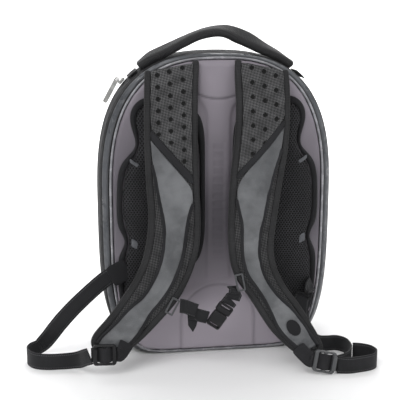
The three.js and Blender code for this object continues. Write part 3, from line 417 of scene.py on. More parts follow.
def makeHoles():
    # staggered round holes: pitch in metres, hole as a share of the pitch
    tree, given, out = newPattern(
        "staggeredHoles",
        [("Place", None), ("Pitch", 0.004), ("Hole", 0.3), ("Stretch", 1.732)],
        ["Hole", "Height"],
    )
    parts = split(tree, given["Place"])
    x = sums(tree, "DIVIDE", parts[0], given["Pitch"])
    y = sums(tree, "DIVIDE", parts[1], sums(tree, "MULTIPLY", given["Pitch"], given["Stretch"]))

    def nearest(shift):
        a = sums(tree, "WRAP", sums(tree, "ADD", x, shift), 0.5, -0.5)
        b = sums(tree, "WRAP", sums(tree, "ADD", y, shift), 0.5, -0.5)
        b = sums(tree, "MULTIPLY", b, given["Stretch"])
        squares = sums(tree, "ADD", sums(tree, "MULTIPLY", a, a), sums(tree, "MULTIPLY", b, b))
        return sums(tree, "SQRT", squares)

    distance = sums(tree, "MINIMUM", nearest(0.0), nearest(0.5))
    low = sums(tree, "MULTIPLY", given["Hole"], 0.75)
    high = sums(tree, "MULTIPLY", given["Hole"], 1.2)
    solid = ramp(tree, distance, low, high)
    tree.links.new(sums(tree, "SUBTRACT", 1.0, solid), out["Hole"])
    tree.links.new(solid, out["Height"])
    return tree


def makeRibs():
    # webbing: ribs across the strip, with fine threads along it
    inputs = [("Place", None), ("Rib", 0.0018), ("Thread", 0.0012)]
    tree, given, out = newPattern("ribbedTape", inputs, ["Height"])
    parts = split(tree, given["Place"])

    def wave(position, pitch):
        turns = sums(tree, "DIVIDE", 2 * math.pi, pitch)
        return sums(tree, "SINE", sums(tree, "MULTIPLY", position, turns))

    rib = wave(parts[1], given["Rib"])
    thread = wave(parts[0], given["Thread"])
    both = sums(tree, "MULTIPLY_ADD", rib, 0.32, sums(tree, "MULTIPLY_ADD", thread, 0.18, 0.5))
    tree.links.new(both, out["Height"])
    return tree


def makeStitches():
    # a row of stitches along the strip, at a distance from its middle
    tree, given, out = newPattern(
        "stitchRow",
        [("Place", None), ("Offset", 0.01), ("Length", 0.0035), ("Width", 0.0009)],
        ["Thread", "Dent"],
    )
    parts = split(tree, given["Place"])
    away = sums(tree, "ABSOLUTE", sums(tree, "SUBTRACT", parts[0], given["Offset"]))
    near = sums(tree, "MULTIPLY", given["Width"], 0.35)
    far = sums(tree, "MULTIPLY", given["Width"], 0.65)
    inRow = ramp(tree, away, near, far, 1.0, 0.0)
    turn = sums(tree, "FRACT", sums(tree, "DIVIDE", parts[1], given["Length"]))
    dash = ramp(tree, sums(tree, "ABSOLUTE", sums(tree, "SUBTRACT", turn, 0.5)), 0.3, 0.38, 1.0, 0.0)
    tree.links.new(sums(tree, "MULTIPLY", inRow, dash), out["Thread"])
    tree.links.new(ramp(tree, away, 0.0, sums(tree, "MULTIPLY", given["Width"], 1.6), 1.0, 0.0), out["Dent"])
    return tree


def makeHandled():
    # uneven tone of cloth that has been handled: broad patches and fine lint
    tree, given, out = newPattern("handledTone", [("Place", None), ("Amount", 0.3)], ["Tone"])
    broad = ramp(tree, noise(tree, given["Place"], 14, 3), 0.3, 0.7)
    lint = ramp(tree, noise(tree, given["Place"], 900, 2), 0.58, 0.75)
    both = sums(tree, "MULTIPLY_ADD", lint, 0.5, sums(tree, "MULTIPLY", broad, 0.6))
    tree.links.new(sums(tree, "MULTIPLY", both, given["Amount"]), out["Tone"])
    return tree


patterns = {
    "weave": makeWeave(),
    "holes": makeHoles(),
    "ribs": makeRibs(),
    "stitches": makeStitches(),
    "handled": makeHandled(),
}


def use(tree, pattern, place, **values):
    node = tree.nodes.new("ShaderNodeGroup")
    node.node_tree = patterns[pattern]
    tree.links.new(place, node.inputs["Place"])
    for label, value in values.items():
        node.inputs[label].default_value = value
    return node.outputs


def frontPlace(tree, degrees=0.0):
    # flat coordinates on the bag's face, x to the right and y up, turned by an angle
    spot = split(tree, tree.nodes.new("ShaderNodeTexCoord").outputs["Object"])
    flat = tree.nodes.new("ShaderNodeCombineXYZ")
    tree.links.new(spot[0], flat.inputs[0])
    tree.links.new(spot[2], flat.inputs[1])
    tree.links.new(spot[1], flat.inputs[2])
    turn = tree.nodes.new("ShaderNodeVectorRotate")
    turn.rotation_type = "Z_AXIS"
    turn.inputs["Angle"].default_value = math.radians(degrees)
    tree.links.new(flat.outputs[0], turn.inputs["Vector"])
    return turn.outputs[0]


def layPlace(tree, degrees=0.0):
    # coordinates that follow the strip: across it and along it
    lay = tree.nodes.new("ShaderNodeAttribute")
    lay.attribute_name = "lay"
    turn = tree.nodes.new("ShaderNodeVectorRotate")
    turn.rotation_type = "Z_AXIS"
    turn.inputs["Angle"].default_value = math.radians(degrees)
    tree.links.new(lay.outputs["Vector"], turn.inputs["Vector"])
    return turn.outputs[0]


def mixColour(tree, share, first, second):
    node = tree.nodes.new("ShaderNodeMix")
    node.data_type = "RGBA"
    if isinstance(share, (int, float)):
        node.inputs["Factor"].default_value = share
    else:
        tree.links.new(share, node.inputs["Factor"])
    for label, colour in (("A", first), ("B", second)):
        sockets = [socket for socket in node.inputs if socket.name == label and socket.type == "RGBA"]
        if isinstance(colour, tuple):
            sockets[0].default_value = (*colour, 1)
        else:
            tree.links.new(colour, sockets[0])
    return [socket for socket in node.outputs if socket.type == "RGBA"][0]


def bump(tree, height, strength, distance, after=None):
    node = tree.nodes.new("ShaderNodeBump")
    node.inputs["Strength"].default_value = strength
    node.inputs["Distance"].default_value = distance
    tree.links.new(height, node.inputs["Height"])
    if after is not None:
        tree.links.new(after, node.inputs["Normal"])
    return node.outputs["Normal"]


def finishOf(name, rough, sheen=0.0, coat=0.0, metallic=0.0, specular=0.5):
    material = bpy.data.materials.new(name)
    material.use_nodes = True
    tree = material.node_tree
    shader = tree.nodes["Principled BSDF"].inputs
    shader["Roughness"].default_value = rough
    shader["Sheen Weight"].default_value = sheen
    shader["Sheen Roughness"].default_value = 0.45
    shader["Coat Weight"].default_value = coat
    shader["Coat Roughness"].default_value = 0.35
    shader["Metallic"].default_value = metallic
    shader["Specular IOR Level"].default_value = specular
    return material, tree, shader


# Finishes

def wovenBlack(name, colour, light, pitch):
    material, tree, shader = finishOf(name, 0.85, sheen=0.06, specular=0.2)
    place = frontPlace(tree, 45)
    height = use(tree, "weave", place, Pitch=pitch)["Height"]
    tone = use(tree, "handled", place, Amount=0.5)["Tone"]
    share = sums(tree, "MULTIPLY_ADD", height, 0.55, tone, clamp=True)
    tree.links.new(mixColour(tree, share, colour, light), shader["Base Color"])
    tree.links.new(bump(tree, height, 0.6, 0.0006), shader["Normal"])
    return material


def webbingCloth(name, colour, light, stitchOffsets=(), rib=0.0019):
    material, tree, shader = finishOf(name, 0.72, sheen=0.06, specular=0.22)
    place = layPlace(tree)
    height = use(tree, "ribs", place, Rib=rib, Thread=0.0014)["Height"]
    tone = use(tree, "handled", place, Amount=0.4)["Tone"]
    share = sums(tree, "MULTIPLY_ADD", height, 0.6, tone, clamp=True)
    base = mixColour(tree, share, colour, light)
    normal = bump(tree, height, 0.7, 0.0006)
    for offset in stitchOffsets:
        row = use(tree, "stitches", place, Offset=offset, Length=0.0035, Width=0.001)
        base = mixColour(tree, sums(tree, "MULTIPLY", row["Thread"], 0.55), base, (0.11, 0.11, 0.115))
        normal = bump(tree, sums(tree, "SUBTRACT", row["Thread"], row["Dent"]), 0.6, 0.0006, normal)
    tree.links.new(base, shader["Base Color"])
    tree.links.new(normal, shader["Normal"])
    return material


def airMeshCloth():
    # open pad mesh: black cloth with small dark holes in staggered rows
    material, tree, shader = finishOf("airMesh", 0.82, sheen=0.05, specular=0.2)
    place = frontPlace(tree)
    holes = use(tree, "holes", place, Pitch=0.0044, Hole=0.32, Stretch=1.5)
    fibre = use(tree, "weave", place, Pitch=0.0007)["Height"]
    tone = use(tree, "handled", place, Amount=0.35)["Tone"]
    share = sums(tree, "MULTIPLY_ADD", fibre, 0.35, tone, clamp=True)
    cloth = mixColour(tree, share, (0.015, 0.015, 0.017), (0.055, 0.055, 0.06))
    tree.links.new(mixColour(tree, holes["Hole"], cloth, (0.001, 0.001, 0.001)), shader["Base Color"])
    soft = bump(tree, fibre, 0.3, 0.0004)
    tree.links.new(bump(tree, holes["Height"], 1.0, 0.0012, soft), shader["Normal"])
    return material


def spacerCloth(name, light, pitch, dimpled):
    # spacer mesh: light diagonal threads over dark gaps; the shoulder field also has large holes
    material, tree, shader = finishOf(name, 0.8, sheen=0.05, specular=0.22)
    place = frontPlace(tree, 38)
    fine = use(tree, "holes", place, Pitch=pitch, Hole=0.36, Stretch=1.1)
    fibre = use(tree, "weave", place, Pitch=pitch / 4)["Height"]
    uneven = ramp(tree, noise(tree, place, 55, 3), 0.3, 0.7, 0.55, 1.0)
    share = sums(tree, "MULTIPLY", sums(tree, "MULTIPLY_ADD", fibre, 0.3, 0.7), uneven)
    cloth = mixColour(tree, share, (0.012, 0.012, 0.014), light)
    cloth = mixColour(tree, sums(tree, "MULTIPLY", fine["Hole"], 0.92), cloth, (0.003, 0.003, 0.003))
    if dimpled:
        hole = tree.nodes.new("ShaderNodeAttribute")
        hole.attribute_name = "dimple"
        shade = sums(tree, "MULTIPLY", hole.outputs["Fac"], 0.96)
        cloth = mixColour(tree, shade, cloth, (0.003, 0.003, 0.003))
    tree.links.new(cloth, shader["Base Color"])
    tree.links.new(bump(tree, fine["Height"], 0.8, 0.0008), shader["Normal"])
    return material


def satinCloth(name, colour, light, rough=0.4, masked=False):
    # coated satin: a fine grain that catches the light, with soft creases that carry painted highlights
    material, tree, shader = finishOf(name, rough, coat=0.08, specular=0.5)
    place = frontPlace(tree)
    grain = use(tree, "weave", place, Pitch=0.0006)["Height"]
    creasesWithPaintedHighlight = ramp(tree, noise(tree, place, 30, 2), 0.3, 0.7)
    tone = use(tree, "handled", place, Amount=0.6)["Tone"]
    share = sums(tree, "MULTIPLY_ADD", grain, 0.2, tone, clamp=True)
    # painted highlight: the creases lighten the colour towards the lighter of its two colours
    share = sums(tree, "MULTIPLY_ADD", creasesWithPaintedHighlight, 0.35, share, clamp=True)
    base = mixColour(tree, share, colour, light)
    gloss = ramp(tree, creasesWithPaintedHighlight, 0.0, 1.0, rough - 0.08, rough + 0.12)
    if masked:
        part = tree.nodes.new("ShaderNodeAttribute")
        part.attribute_name = "satin"
        base = mixColour(tree, part.outputs["Fac"], (0.006, 0.006, 0.007), base)
        gloss = ramp(tree, part.outputs["Fac"], 0.0, 1.0, 0.85, gloss)
    tree.links.new(base, shader["Base Color"])
    tree.links.new(gloss, shader["Roughness"])
    soft = bump(tree, creasesWithPaintedHighlight, 0.6, 0.006)
    tree.links.new(bump(tree, grain, 0.25, 0.0003, soft), shader["Normal"])
    return material


def coilTape():
    # zip tape with its coil: teeth across a raised middle, counted round the outline
    material, tree, shader = finishOf("coilTape", 0.6, specular=0.35)
    spot = split(tree, tree.nodes.new("ShaderNodeTexCoord").outputs["Object"])
    angle = sums(tree, "ARCTAN2", sums(tree, "SUBTRACT", spot[2], 0.245), spot[0])
    turns = sums(tree, "SINE", sums(tree, "MULTIPLY", angle, 2 * math.pi * 0.21 / bodyShape["coilPitch"]))
    away = sums(tree, "ABSOLUTE", sums(tree, "SUBTRACT", spot[1], bodyShape["zipDepth"]))
    onCoil = ramp(tree, away, bodyShape["coilHalf"] * 0.85, bodyShape["coilHalf"] * 1.1, 1.0, 0.0)
    teeth = sums(tree, "MULTIPLY", sums(tree, "MULTIPLY_ADD", turns, 0.5, 0.5), onCoil)
    tree.links.new(mixColour(tree, teeth, (0.007, 0.007, 0.008), (0.06, 0.06, 0.064)), shader["Base Color"])
    tree.links.new(bump(tree, teeth, 0.9, 0.0012), shader["Normal"])
    return material


def panelSkin():
    # soft-touch moulded skin: fine leather grain, slow changes of tone, painted light towards its ends and
    # painted shade in its pressed lines
    material, tree, shader = finishOf("panelSkin", 0.5, sheen=0.08, specular=0.4)
    place = frontPlace(tree)
    grain = noise(tree, place, 1100, 2)
    broad = ramp(tree, noise(tree, place, 6, 2), 0.3, 0.7)
    parts = split(tree, place)
    # painted light: lighter towards the head cushion at the top and towards the foot, where the floor throws
    # light back up, so the middle, which the straps shade, stays darker
    paintedTopLight = ramp(tree, parts[1], 0.25, 0.45)
    paintedFloorBounce = ramp(tree, parts[1], 0.04, 0.2, 1.0, 0.0)
    # the painted light of the panel's top and foot, weighed together
    ends = sums(tree, "MULTIPLY_ADD", paintedFloorBounce, 0.95, sums(tree, "MULTIPLY", paintedTopLight, 0.45))
    share = sums(tree, "MULTIPLY_ADD", broad, 0.25, ends, clamp=True)
    base = mixColour(tree, share, (0.085, 0.077, 0.091), (0.34, 0.307, 0.35))
    # painted shade: the pressed lines are darkened by the amount the seam attribute carries
    seam = tree.nodes.new("ShaderNodeAttribute")
    seam.attribute_name = "seam"
    base = mixColour(tree, sums(tree, "MULTIPLY", seam.outputs["Fac"], 0.65), base, (0.045, 0.04, 0.05))
    tree.links.new(base, shader["Base Color"])
    tree.links.new(ramp(tree, grain, 0.2, 0.8, 0.46, 0.58), shader["Roughness"])
    tree.links.new(bump(tree, grain, 0.22, 0.0004), shader["Normal"])
    return material


def shellSkin():
    # moulded shell skin: pebble grain with faint rubbing
    material, tree, shader = finishOf("shellSkin", 0.48, specular=0.45)
    place = tree.nodes.new("ShaderNodeTexCoord").outputs["Object"]
    pebble = tree.nodes.new("ShaderNodeTexVoronoi")
    pebble.inputs["Scale"].default_value = 620
    tree.links.new(place, pebble.inputs["Vector"])
    grain = ramp(tree, pebble.outputs["Distance"], 0.1, 0.7)
    rub = ramp(tree, noise(tree, place, 9, 4), 0.45, 0.75)
    tree.links.new(mixColour(tree, rub, (0.011, 0.011, 0.012), (0.022, 0.022, 0.024)), shader["Base Color"])
    tree.links.new(ramp(tree, rub, 0.0, 1.0, 0.44, 0.56), shader["Roughness"])
    tree.links.new(bump(tree, grain, 0.35, 0.0005), shader["Normal"])
    return material


def pipingSkin():
    material, tree, shader = finishOf("pipingSkin", 0.24, coat=0.3, specular=0.6)
    place = tree.nodes.new("ShaderNodeTexCoord").outputs["Object"]
    wear = ramp(tree, noise(tree, place, 60, 3), 0.35, 0.7)
    tree.links.new(mixColour(tree, wear, (0.17, 0.17, 0.185), (0.3, 0.3, 0.32)), shader["Base Color"])
    tree.links.new(ramp(tree, wear, 0.0, 1.0, 0.2, 0.34), shader["Roughness"])
    tree.links.new(bump(tree, noise(tree, place, 300, 2), 0.1, 0.0004), shader["Normal"])
    return material


def mouldedPlastic(name, colour, light, rough, specular):
    material, tree, shader = finishOf(name, rough, specular=specular)
    place = tree.nodes.new("ShaderNodeTexCoord").outputs["Object"]
    spark = noise(tree, place, 1500, 2)
    wear = ramp(tree, noise(tree, place, 70, 3), 0.5, 0.8)
    tree.links.new(mixColour(tree, wear, colour, light), shader["Base Color"])
    tree.links.new(ramp(tree, wear, 0.0, 1.0, rough - 0.05, rough + 0.12), shader["Roughness"])
    tree.links.new(bump(tree, spark, 0.25, 0.0002), shader["Normal"])
    return material


def platedMetal():
    material, tree, shader = finishOf("platedMetal", 0.35, metallic=1.0)
    place = tree.nodes.new("ShaderNodeTexCoord").outputs["Object"]
    wear = ramp(tree, noise(tree, place, 120, 4), 0.4, 0.7)
    tree.links.new(mixColour(tree, wear, (0.4, 0.4, 0.39), (0.62, 0.62, 0.6)), shader["Base Color"])
    tree.links.new(ramp(tree, wear, 0.0, 1.0, 0.3, 0.5), shader["Roughness"])
    tree.links.new(bump(tree, noise(tree, place, 900, 2), 0.15, 0.0002), shader["Normal"])
    return material


bodyShape = {
    "zipDepth": -0.026,       # where the coil lies, front to back
    "coilPitch": 0.0021,
    "coilHalf": 0.002,
    "satinFrom": -0.0752,     # the satin lies between these two depths of its band
    "satinTo": -0.0672,
    "satinSoft": 0.0006,      # half width over which it fades out
    "satinRise": 0.0006,
    "seamDepth": 0.0009,
}

finish = {
    "black": wovenBlack("wovenBlack", (0.007, 0.007, 0.008), (0.03, 0.03, 0.033), 0.0011),
    "binding": webbingCloth("ribbedBinding", (0.008, 0.008, 0.0085), (0.036, 0.036, 0.038), rib=0.0021),
    "webbing": webbingCloth(
        "ribbedWebbing", (0.006, 0.006, 0.007), (0.026, 0.0265, 0.029), (-0.0098, 0.0098),
    ),
    "airMesh": airMeshCloth(),
    "spacer": spacerCloth("spacerMesh", (0.25, 0.25, 0.257), 0.0029, True),
    "inlay": spacerCloth("inlayMesh", (0.15, 0.15, 0.155), 0.0031, False),
    "ribbon": satinCloth("satinRibbon", (0.034, 0.036, 0.04), (0.165, 0.17, 0.178)),
    "satin": satinCloth("satinStrip", (0.04, 0.043, 0.05), (0.1, 0.104, 0.115), 0.36),
    "band": satinCloth("satinBand", (0.03, 0.033, 0.039), (0.085, 0.09, 0.1), 0.34, masked=True),
    "coil": coilTape(),
    "panel": panelSkin(),
    "shell": shellSkin(),
    "piping": pipingSkin(),
    "rim": wovenBlack("padRimCloth", (0.007, 0.007, 0.008), (0.02, 0.02, 0.022), 0.0008),
    "blackPlastic": mouldedPlastic("blackPlastic", (0.006, 0.006, 0.007), (0.016, 0.016, 0.018), 0.5, 0.3),
    "greyPlastic": mouldedPlastic("greyPlastic", (0.06, 0.062, 0.066), (0.11, 0.112, 0.117), 0.36, 0.5),
    "metal": platedMetal(),
}
print("finishes made")


# How far cloth and padding stand proud of their solids
proud = {
    "piping": 0.0004,
    "padRim": 0.0004,
    "padStrip": 0.0005,
    "strapCore": 0.0005,
    "spacer": 0.0006,
    "seam": 0.0014,
    "binding": 0.0013,
    "endTab": 0.0006,
    "handle": 0.0026,
}

# Size and height of the ripples in loose cloth
ripples = {
    "gusset": (0.05, 0.0009),
    "ribbon": (0.022, 0.0026),
    "webbing": (0.05, 0.0012),
    "handle": (0.04, 0.0012),
    "wing": (0.02, 0.0012),
}


# Body: shell, gusset, satin band, zip tape and piping

def makeBody():
    shell = softCopy("front_shell", "hardShell")
    creaseCorners(shell, 65, 1.0)
    smoothed(shell, 2)
    shell.data.materials.append(finish["shell"])
    placeInBag(shell, "moulded_shell", "front_shell")

    gusset = softCopy("gusset", "sideGusset")
    creaseCorners(gusset, 60, 1.0)
    smoothed(gusset, 2)
    rippled(gusset, *ripples["gusset"])
    gusset.data.materials.append(finish["black"])
    placeInBag(gusset, "black_fabric", "gusset")

    # the band is satin in its middle and black fabric behind, with a pressed seam between them
    band = softCopy("gusset_band", "satinBandRing")
    creaseCorners(band, 60)
    smoothed(band, 3)
    start = bodyShape["satinFrom"]
    end = bodyShape["satinTo"]
    soft = bodyShape["satinSoft"]
    mask = band.data.attributes.new("satin", "FLOAT", "POINT")
    normals = [vert.normal.copy() for vert in band.data.vertices]
    for vert, normal in zip(band.data.vertices, normals):
        depth = vert.co.y
        satin = softStep(depth, start - soft, start + soft)
        satin *= 1 - softStep(depth, end - soft, end + soft)
        mask.data[vert.index].value = satin
        away = min(abs(depth - start), abs(depth - end))
        pressed = 1 - softStep(away, 0.0002, 0.0014)
        vert.co += normal * (bodyShape["satinRise"] * satin - bodyShape["seamDepth"] * pressed)
    band.data.update()
    band.data.materials.append(finish["band"])
    placeInBag(band, "satin_band", "gusset_band")

    tape = softCopy("zip_chain", "zipTape")
    creaseCorners(tape, 60, 1.0)
    smoothed(tape, 2)
    tape.data.materials.append(finish["coil"])
    placeInBag(tape, "zip_tape", "zip_chain")

    piping = softCopy("panel_piping", "panelPiping")
    smoothed(piping, 2)
    plumped(piping, proud["piping"])
    piping.data.materials.append(finish["piping"])
    placeInBag(piping, "piping", "panel_piping")


makeBody()
print("body made")


# Back panel: moulded skin with a head cushion, a plain ribbed channel and a lumbar arch

panelShape = {
    "voxel": 0.0021,
    "headSeam": 0.396,          # height of the head cushion's seam at the middle
    "headSeamRise": 7.5,        # how fast it curves up to the sides
    "headSeamDepth": 0.0012,
    "headHalf": 0.030,
    "channelHalf": 0.0085,
    "channelLow": 0.150,
    "channelHigh": 0.335,
    "channelDepth": 0.0011,
    "ribPitch": 0.0125,
    "archHalf": 0.058,
    "archHigh": 0.110,
    "archSquare": 0.052,        # below this height the arch has straight sides
    "archDepth": 0.0009,
}


def grooveAt(x, z):
    # depth of the pressed lines at a point of the face, in metres, and how much painted shade darkens the
    # line
    depth = 0.0
    paintedGrooveShade = 0.0
    seamHeight = panelShape["headSeam"] + panelShape["headSeamRise"] * x * x
    if abs(x) < panelShape["headHalf"] + 0.004:
        near = 1 - softStep(abs(z - seamHeight), 0.0004, 0.0026)
        depth += panelShape["headSeamDepth"] * near
        paintedGrooveShade = max(paintedGrooveShade, near)
    if panelShape["channelLow"] < z < panelShape["channelHigh"]:
        inside = 1 - softStep(abs(x), panelShape["channelHalf"] - 0.0012, panelShape["channelHalf"] + 0.0014)
        ends = softStep(z, panelShape["channelLow"], panelShape["channelLow"] + 0.004)
        ends *= 1 - softStep(z, panelShape["channelHigh"] - 0.004, panelShape["channelHigh"])
        turn = (z / panelShape["ribPitch"]) % 1.0
        rib = 1 - softStep(abs(turn - 0.5) * panelShape["ribPitch"], 0.0016, 0.0034)
        pressed = inside * ends * (1 - 0.75 * rib)
        depth += panelShape["channelDepth"] * pressed
        paintedGrooveShade = max(paintedGrooveShade, 0.18 * pressed)
    half = panelShape["archHalf"]
    square = panelShape["archSquare"]
    if z > square:
        reach = math.hypot(x / half, (z - square) / (panelShape["archHigh"] - square))
        away = abs(reach - 1) * half
    else:
        away = abs(abs(x) - half)
    if z < panelShape["archHigh"] + 0.01:
        near = 1 - softStep(away, 0.0006, 0.003)
        depth += panelShape["archDepth"] * near
        paintedGrooveShade = max(paintedGrooveShade, 0.45 * near)
    return depth, paintedGrooveShade


def makePanel():
    panel = softCopy("back_panel", "backPanel")
    modify(panel, "REMESH", mode="VOXEL", voxel_size=panelShape["voxel"], use_smooth_shade=True)
    modify(panel, "SMOOTH", factor=0.5, iterations=6)
    seam = panel.data.attributes.new("seam", "FLOAT", "POINT")
    facing = [vert.normal.y < -0.4 for vert in panel.data.vertices]
    for vert, shown in zip(panel.data.vertices, facing):
        if shown:
            depth, paintedGrooveShade = grooveAt(vert.co.x, vert.co.z)
            vert.co.y += depth
            # the seam attribute carries the painted shade of the pressed lines
            seam.data[vert.index].value = paintedGrooveShade
    panel.data.update()
    panel.data.materials.append(finish["panel"])
    placeInBag(panel, "panel_skin", "back_panel")


makePanel()
print("panel made")


# Pads: pressed rims with air mesh cushions between them

padShape = {
    "voxel": 0.0038,
    "pressBack": 0.0014,      # how far the cushion starts behind its solid before it is blown up
    "overlap": 0.0015,        # cushions press against their rims
    "pressure": 4.0,
    "cap": 0.0024,            # most that a point may move outwards
    "frames": 20,
}


def blowUp(piece, shape):
    # cushions are filled by a short cloth run, and no point moves further than the cap
    rest = [vert.co.copy() for vert in piece.data.vertices]
    alone(piece)
    cloth = piece.modifiers.new("fill", "CLOTH")
    cloth.settings.use_pressure = True
    cloth.settings.uniform_pressure_force = shape["pressure"]
    cloth.settings.effector_weights.gravity = 0
    cloth.settings.quality = 5
    for step in range(1, shape["frames"] + 1):
        bpy.context.scene.frame_set(step)
    bpy.ops.object.modifier_apply(modifier=cloth.name)
    bpy.context.scene.frame_set(1)
    for vert, old in zip(piece.data.vertices, rest):
        move = vert.co - old
        if move.length > shape["cap"]:
            vert.co = old + move.normalized() * shape["cap"]
    piece.data.update()


def makePads():
    for side in ("left", "right"):
        rim = softCopy("pad_rim_" + side, "padRim" + side.title())
        creaseCorners(rim, 50)
        smoothed(rim, 2)
        plumped(rim, proud["padRim"])
        rim.data.materials.append(finish["rim"])
        placeInBag(rim, "pad_rim", "pad_rim_" + side)

        low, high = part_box("back_pad_" + side)
        pad = softCopy("back_pad_" + side, "padCushion" + side.title())
        modify(pad, "REMESH", mode="VOXEL", voxel_size=padShape["voxel"], use_smooth_shade=True)
        for vert in pad.data.vertices:
            front = softStep(-vert.co.y, -high.y, -low.y)
            vert.co.y += padShape["pressBack"] * front
        blowUp(pad, padShape)
        smoothed(pad, 1)
        plumped(pad, padShape["overlap"])
        pad.data.materials.append(finish["airMesh"])
        placeInBag(pad, "pad_mesh", "back_pad_" + side)

        for which in ("upper", "lower"):
            node = "pad_strip_" + which + "_" + side
            satin = softCopy(node, "padStrip" + which.title() + side.title())
            creaseCorners(satin, 50)
            smoothed(satin, 2)
            plumped(satin, proud["padStrip"])
            satin.data.materials.append(finish["satin"])
            placeInBag(satin, "satin_band", node)


makePads()
print("pads made")


# Shoulder straps: padded core, spacer mesh, seam, satin ribbon with welts, ribbed binding

strapShape = {
    "holeRadius": 0.0037,
    "holeDepth": 0.0011,
    "weltRadius": 0.0026,
    "weltFrom": 0.1,          # share of the ribbon's length at which its welts start
}

# Holes of the shoulder mesh: columns across, height of the first one in each, step down the column
shoulderHoles = {
    "left": {"x": (-0.092, -0.0745, -0.0555), "z": (0.4325, 0.437, 0.4425), "step": 0.0166},
    "right": {"x": (0.0455, 0.0633, 0.0803), "z": (0.4415, 0.436, 0.43), "step": 0.0205},
}

# Direction of each strap piece's upper end, so that its rows are counted from there
strapUpward = {
    "left": {"top": (-0.5, 0, 0.86), "seam": (0.69, 0, 0.72)},
    "right": {"top": (0.5, 0, 0.86), "seam": (-0.69, 0, 0.72)},
}


def dimpleHoles(field, holes):
    # large holes pressed into the shoulder mesh, a little squared and turned like its threads
    radius = strapShape["holeRadius"]
    dimple = field.data.attributes.new("dimple", "FLOAT", "POINT")
    facing = [vert.normal.y < -0.2 for vert in field.data.vertices]
    for vert, shown in zip(field.data.vertices, facing):
        if not shown:
            continue
        inside = 0.0
        for x, z in zip(holes["x"], holes["z"]):
            step = round((z - vert.co.z) / holes["step"])
            if step < 0:
                continue
            a = vert.co.x - x
            b = vert.co.z - (z - step * holes["step"])
            reach = (abs(a + b) ** 3 + abs(a - b) ** 3) ** (1 / 3) / 1.3
            inside = max(inside, 1 - softStep(reach, radius * 0.75, radius * 1.15))
        dimple.data[vert.index].value = inside
        vert.co.y += strapShape["holeDepth"] * inside
    field.data.update()


def ribbonWidth(share):
    # full width under the shoulder, narrow down the chest and wide again at the end
    waist = softStep(share, 0.06, 0.26) * (1 - softStep(share, 0.68, 0.84))
    end = softStep(share, 0.7, 0.9)
    return 1.08 - 0.3 * waist + 0.1 * end


def makeStraps():
    for side in ("left", "right"):
        name = side.title()
        upward = strapUpward[side]

        core = softCopy("shoulder_strap_" + side, "strapCore" + name)
        creaseCorners(core, 35)
        smoothed(core, 2)
        plumped(core, proud["strapCore"])
        core.data.materials.append(finish["inlay"])
        placeInBag(core, "strap_body", "shoulder_strap_" + side)

        field = softCopy("strap_mesh_" + side, "strapSpacer" + name)
        creaseCorners(field, 50, 1.0)
        modify(field, "SUBSURF", levels=4, render_levels=4)
        alone(field)
        bpy.ops.object.shade_smooth()
        plumped(field, proud["spacer"])
        dimpleHoles(field, shoulderHoles[side])
        field.data.materials.append(finish["spacer"])
        placeInBag(field, "spacer_mesh", "strap_mesh_" + side)

        seam = softCopy("strap_seam_" + side, "strapSeam" + name)
        creaseCorners(seam, 50)
        smoothed(seam, 2)
        plumped(seam, proud["seam"])
        seam.data.materials.append(finish["black"])
        placeInBag(seam, "black_fabric", "strap_seam_" + side)

        ribbon = softCopy("strap_cover_" + side, "strapRibbon" + name)
        edges = layCloth(ribbon, upward["seam"], 10, ribbonWidth)
        creaseCorners(ribbon, 50, 1.0)
        smoothed(ribbon, 3)
        rippled(ribbon, *ripples["ribbon"], "Y")
        ribbon.data.materials.append(finish["ribbon"])
        placeInBag(ribbon, "ribbon", "strap_cover_" + side)

        # welts along both edges of the ribbon
        for which, edge in zip(("Inner", "Outer"), edges):
            first = int(strapShape["weltFrom"] * len(edge))
            welt = tube("ribbonWelt" + which + name, edge[first:], strapShape["weltRadius"])
            welt.data.materials.append(finish["black"])
            placeInBag(welt, "black_fabric")

        binding = softCopy("strap_binding_" + side, "strapBinding" + name)
        layCloth(binding, upward["top"], 6)
        creaseCorners(binding, 40)
        smoothed(binding, 2)
        plumped(binding, proud["binding"])
        binding.data.materials.append(finish["binding"])
        placeInBag(binding, "black_fabric", "strap_binding_" + side)

        tab = softCopy("strap_end_tab_" + side, "strapTab" + name)
        creaseCorners(tab, 50)
        smoothed(tab, 2)
        plumped(tab, proud["endTab"])
        tab.data.materials.append(finish["black"])
        placeInBag(tab, "black_fabric", "strap_end_tab_" + side)


makeStraps()
print("straps made")


# Webbing, ladder locks and the chest strap

# Direction of each webbing's first end
webbingUpward = {
    "lower_webbing_left": (0.9, 0, 0.45),
    "lower_webbing_right": (0.9, 0.9, 0.6),
    "webbing_tail_right": (-1, -0.3, 0),
    "sternum_webbing_left": (-1, 0, 0),
    "sternum_webbing_loop": (-1, 0, 0),
    "sternum_webbing_right": (-0.6, 0, -0.8),
}


def makeWebbing():
    for node, upward in webbingUpward.items():
        words = node.split("_")
        webbing = softCopy(node, words[0] + "".join(word.title() for word in words[1:]))
        layCloth(webbing, upward, 4)
        creaseCorners(webbing, 50, 1.0)
        smoothed(webbing, 2)
        rippled(webbing, *ripples["webbing"])
        webbing.data.materials.append(finish["webbing"])
        placeInBag(webbing, "webbing", node)

    tail = softCopy("sternum_tail", "sternumTailEnd")
    rounded(tail, 0.0004, 2, 50)
    tail.data.materials.append(finish["black"])
    placeInBag(tail, "webbing", "sternum_tail")


# Webbing threaded through each lock: centre of the lock, the webbing's run and its width direction
lockThreads = {
    "Left": {"at": (-0.178, -0.152, 0.034), "run": (-1, 0.06, 0), "wide": (0.1, 0, -1)},
    "Right": {"at": (0.142, -0.186, 0.0186), "run": (0.95, 0, -0.22), "wide": (0.2, 0.25, 1)},
}
